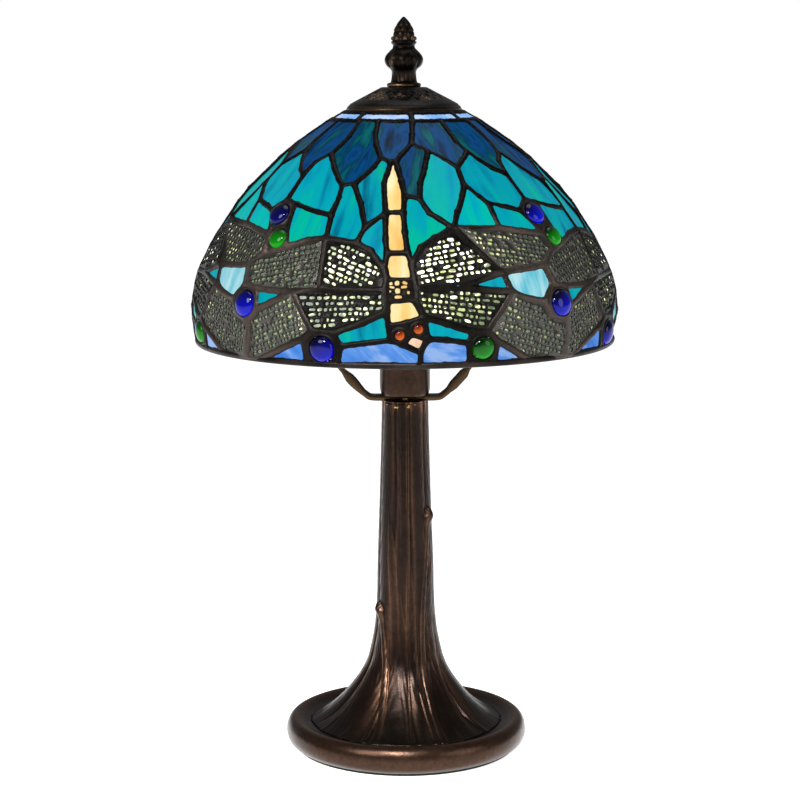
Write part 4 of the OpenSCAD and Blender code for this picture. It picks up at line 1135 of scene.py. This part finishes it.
def trunk_piece():
    """Overlapping stalks and leaf blades that run up the trunk and fan out into roots."""
    columns = 720
    z_foot, z_top = 15.1, TRUNK_TOP
    z = np.concatenate([np.arange(z_foot, 60, 0.6), np.arange(60, z_top, 1.1), [z_top - 0.3, z_top]])
    az = np.linspace(-180, 180, columns, endpoint=False)
    a_grid, z_grid = np.meshgrid(az, z)
    bark = smooth_line([(h, r) for h, r in BARK], 6)
    r_base = np.interp(z_grid, bark[:, 0], bark[:, 1])
    wander = (2.4 * np.sin(z_grid / 31 + np.radians(3 * a_grid))
              + 1.3 * np.sin(z_grid / 13 + np.radians(5 * a_grid) + 1))
    place = (a_grid + wander * np.clip((z_grid - 30) / 60, 0.2, 1) + 180) % 360 - 180
    edges = np.array(VALLEYS + [VALLEYS[0] + 360])
    slot = np.searchsorted(edges, place, side="right") - 1
    wrapped = np.where(slot < 0, place + 360, place)
    slot = np.where(slot < 0, len(VALLEYS) - 1, slot)
    left, right = edges[slot], edges[slot + 1]
    across = np.clip((wrapped - left) / (right - left), 0, 1)
    relief = np.interp(z_grid, [15, 18, 24, 40, 60, 120, 214], [0.3, 1.7, 3.1, 2.6, 1.8, 1.3, 1.1])
    lobe = np.sin(np.pi * across) ** 0.42
    height = relief * lobe
    crest = 0.5 * np.exp(-((lobe - 0.72) / 0.13) ** 2) + 0.06
    for foot, tip, z_tip, half, lift in BLADES:
        t = np.clip((z_grid - 16) / (z_tip - 16), 0, 1)
        centre = foot + (tip - foot) * t ** 1.8
        gap = (a_grid - centre + 180) % 360 - 180
        bud = lift > 0.9
        swell = 1 + (0.8 * np.exp(-((z_grid - z_tip + 6) / 5) ** 2) if bud else 0.35 * np.sin(np.pi * t))
        close = np.clip((z_tip - z_grid) / (5 if bud else 34), 0, 1) ** (0.5 if bud else 0.75)
        width = half * swell * close * np.interp(z_grid, [16, 40, 70], [1.5, 1.25, 1.0])
        u = np.abs(np.radians(gap) * r_base) / np.maximum(width, 1e-3)
        dome = np.sqrt(np.clip(1 - u ** 2, 0, 1))
        stand = relief * 0.72 + lift + (2.3 * np.exp(-((z_grid - z_tip + 5) / 4.5) ** 2) if bud else 0.0)
        blade = np.where(u < 1, stand * dome ** 0.8 * np.clip(close * 2.2, 0, 1), 0)
        edge = np.exp(-((dome - 0.75) / 0.2) ** 2) * (0.95 if bud or half < 1.5 else 0.6)
        crest = np.where(blade > height, edge, crest)
        height = np.maximum(height, blade)
    grain = 0.10 * (np.sin(z_grid / 2.1 + 5 * np.sin(np.radians(7 * a_grid)))
                    * np.sin(np.radians(40 * a_grid)))
    radius = r_base - relief * 0.62 + height + grain
    flush = np.clip((z_top - z_grid) / 2, 0, 1)
    radius = np.minimum(radius, 13.4 + 8 * flush + 40 * (z_grid < z_top - 8))
    t = np.radians(a_grid)
    points = np.stack([radius * np.sin(t), -radius * np.cos(t), z_grid], -1).reshape(-1, 3)
    # Copper along the crests of stalks and blades: metal showing through the patina and painted highlights
    # both, in patches, graded by height and strongest at the top.
    patches = 0.6 + 0.4 * np.sin(z_grid / 17 + 2) * np.sin(np.radians(3 * a_grid) + z_grid / 40)
    glint = patches * np.interp(z_grid, [15, 18, 40, 90, 140, 205, 210, 214],
                                [0, 0.25, 0.75, 0.7, 0.45, 0.5, 1.4, 3])
    make("trunk_cast", points, lathe_rows(len(z), columns, CLOSED), BRONZE,
         "lamp_base", "trunk", "trunk", worn=np.clip(crest * glint, 0, 1).ravel())


def disc_piece():
    """The round foot: a dished disc with a thick rolled rim."""
    outline = [(5.2, 9), (60, 9), (63.6, 6.4), (64.4, 1.7), (68.4, 1.6), (70.6, 2.8), (72.4, 5),
               (73.4, 8), (73.4, 11), (72.6, 14), (70.8, 16.6), (68.2, 17.8), (65.4, 17.4),
               (62.6, 16.1), (59.6, 15.2), (56, 14.7), (50, 14.5), (30, 14.6), (5.2, 14.8)]
    line = smooth_line(outline, 5)
    piece = lathe("base_disc_cast", line, BRONZE, 240, OPEN)
    # Dark dished top, paler outer rim, and a painted highlight along the top of the rolled rim.
    worn = [0.02 + 0.12 * (r > 63) + 0.2 * math.exp(-((r - 67.5) / 1.6) ** 2) * (z > 14) for r, z in line]
    store(piece, "worn", np.repeat(worn, 240))
    fit(piece, "lamp_base", "base_disc", "base_disc")


# ---- socket and saddle
def saddle_piece():
    """The bent strip under the socket, its arms folded up to the legs of the harp."""
    leg, seat = HARP_LEG_X, TRUNK_TOP + 1.1
    route = smooth_line([(-leg, 236), (-leg + 0.3, 234.6), (-leg + 3, 231), (-27.5, 220.6), (-23.5, 217),
                         (-20, seat + 0.1), (-10, seat), (10, seat), (20, seat + 0.1), (23.5, 217),
                         (27.5, 220.6), (leg - 3, 231), (leg - 0.3, 234.6), (leg, 236)], 5)
    points, faces, worn = [], [], []
    section = [(-1, -0.7), (-0.86, -1), (0.86, -1), (1, -0.7), (1, 0.7), (0.86, 1), (-0.86, 1), (-1, 0.7)]
    for i, (x, z) in enumerate(route):
        thick = np.interp(x, [-37, -33, -30, -25, 25, 27, 28, 36, 38],
                          [1.4, 2.9, 2.7, 1.75, 1.75, 1.8, 2.7, 2.8, 1.4])
        ahead = unit(route[min(i + 1, len(route) - 1)] - route[max(i - 1, 0)])
        half = np.interp(abs(x), [0, 12, 20, 30, 38, 40], [4.6, 4.6, 3.6, 2.9, 2.4, 2.0])
        for y, h in section:
            points.append([x - ahead[1] * h * thick, y * half, z + ahead[0] * h * thick])
            worn.append(0.2 + 0.5 * (abs(y) > 0.9))
    n = len(section)
    for i in range(len(route) - 1):
        for j in range(n):
            k = (j + 1) % n
            faces.append((i * n + j, (i + 1) * n + j, (i + 1) * n + k, i * n + k))
    faces.append(tuple(range(n)))
    faces.append(tuple((len(route) - 1) * n + j for j in reversed(range(n))))
    make("harp_saddle_strip", points, faces, SADDLE_METAL,
         "lamp_base", "harp_saddle", "harp_saddle", worn=worn)


def saddle_pegs():
    """Pegs on the saddle that the harp's legs stand on."""
    points, faces = [], []
    columns = 16
    for side in (-1, 1):
        first = len(points)
        x = side * HARP_LEG_X
        for r, z in [(1.2, 235.2), (1.6, 235.6), (1.6, 242.6), (1.2, 243)]:
            points.extend([x + px, py, z] for px, py in ring_points(r, full_turn(columns)))
        faces.extend(from_point(first, lathe_rows(4, columns, CLOSED)))
    make("harp_saddle_pegs", points, faces, BRASS, "lamp_base", "harp_saddle")


def solder_drops():
    """Small runs of solder where the strip sits on the trunk."""
    points, faces = [], []
    chance = random.Random(5)
    for _ in range(16):
        a = math.radians(chance.choice((-48, -20, -8, 12, 30)) + chance.uniform(-8, 8))
        r = chance.uniform(13.1, 13.6)
        ball(points, faces, (r * math.sin(a), -r * math.cos(a), 212.3 + chance.uniform(-1.6, 0.4)),
             chance.uniform(0.4, 0.9), 6, 10)
    make("trunk_top_solder", points, faces, BRASS, "lamp_base", "trunk", worn=[0.8] * len(points))


def socket_piece():
    """The lamp holder's cup: a smooth shell with a rounded foot and a beaded joint."""
    outline = [(5.2, 215.7), (10, 215.8), (12.8, 216.3), (14.3, 217.6), (15, 219.8), (15.2, 223),
               (15.2, 228), (15.2, 233.6), (15.6, 234.4), (15.6, 235.4), (15.2, 236.2)]
    piece = lathe("socket_cap_spun", smooth_line(outline, 4), BRONZE, 96, OPEN)
    store(piece, "worn", np.full(len(piece.data.vertices), 0.12))
    fit(piece, "lamp_base", "socket_cap", "socket_cap")


# ---- parts that keep their CAD shape
def dress(look, *nodes):
    for name in nodes:
        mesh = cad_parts[name].data
        mesh.materials.clear()
        mesh.materials.append(look)


build_world()
build_floor()
build_lights()
build_camera()
for kind, (cells, *look) in SHEETS.items():
    glass_piece(kind + "_glass", cells, sheet_glass(kind + "_glass_look", *look))
band_piece()
wing_panes()
came_piece()
pierced_piece("wing_filigree_cast", "wing_filigree", WING_CELLS,
              lambda number, outline, plane, chance: wing_holes(outline, chance, WING_NEAR[number]),
              0.55, lambda number: 0.68 - 0.66 * WING_NEAR[number], WING_METAL)
pierced_piece("thorax_plate_cast", "thorax_plate", THORAX_CELLS,
              lambda number, outline, plane, chance: thorax_openings(plane, chance),
              0.7, lambda number: 0.05, LEAD)
stones_piece("blue_stones", "blue_jewels", BLUE_STONES, BLUE_STONE)
stones_piece("green_stones", "green_jewels", GREEN_STONES, GREEN_STONE)
stones_piece("eye_stones", "red_eyes", EYE_STONES, RED_STONE)
rim_piece()
cap_piece()
top_ring_piece()
finial_piece()
finial_beads()
trunk_piece()
disc_piece()
saddle_piece()
saddle_pegs()
solder_drops()
socket_piece()
dress(BRONZE, "socket_shell")
dress(BRASS, "harp", "harp_ferrule_left", "harp_ferrule_right", "harp_stud")
dress(BRIGHT_BRASS, "finial_insert", "screw_shell", "centre_contact", "terminal_screws", "switch_shaft",
      "base_nut", "threaded_rod")
dress(STEEL, "base_washer", "bulb_base")
dress(BLACK_PLASTIC, "socket_body", "switch_knob", "bulb_insulator", "cord_bush")
dress(CARD, "insulating_sleeve")
dress(FELT, "felt_pad")
dress(FROSTED, "bulb_glass")
dress(FILAMENT, "bulb_filament")
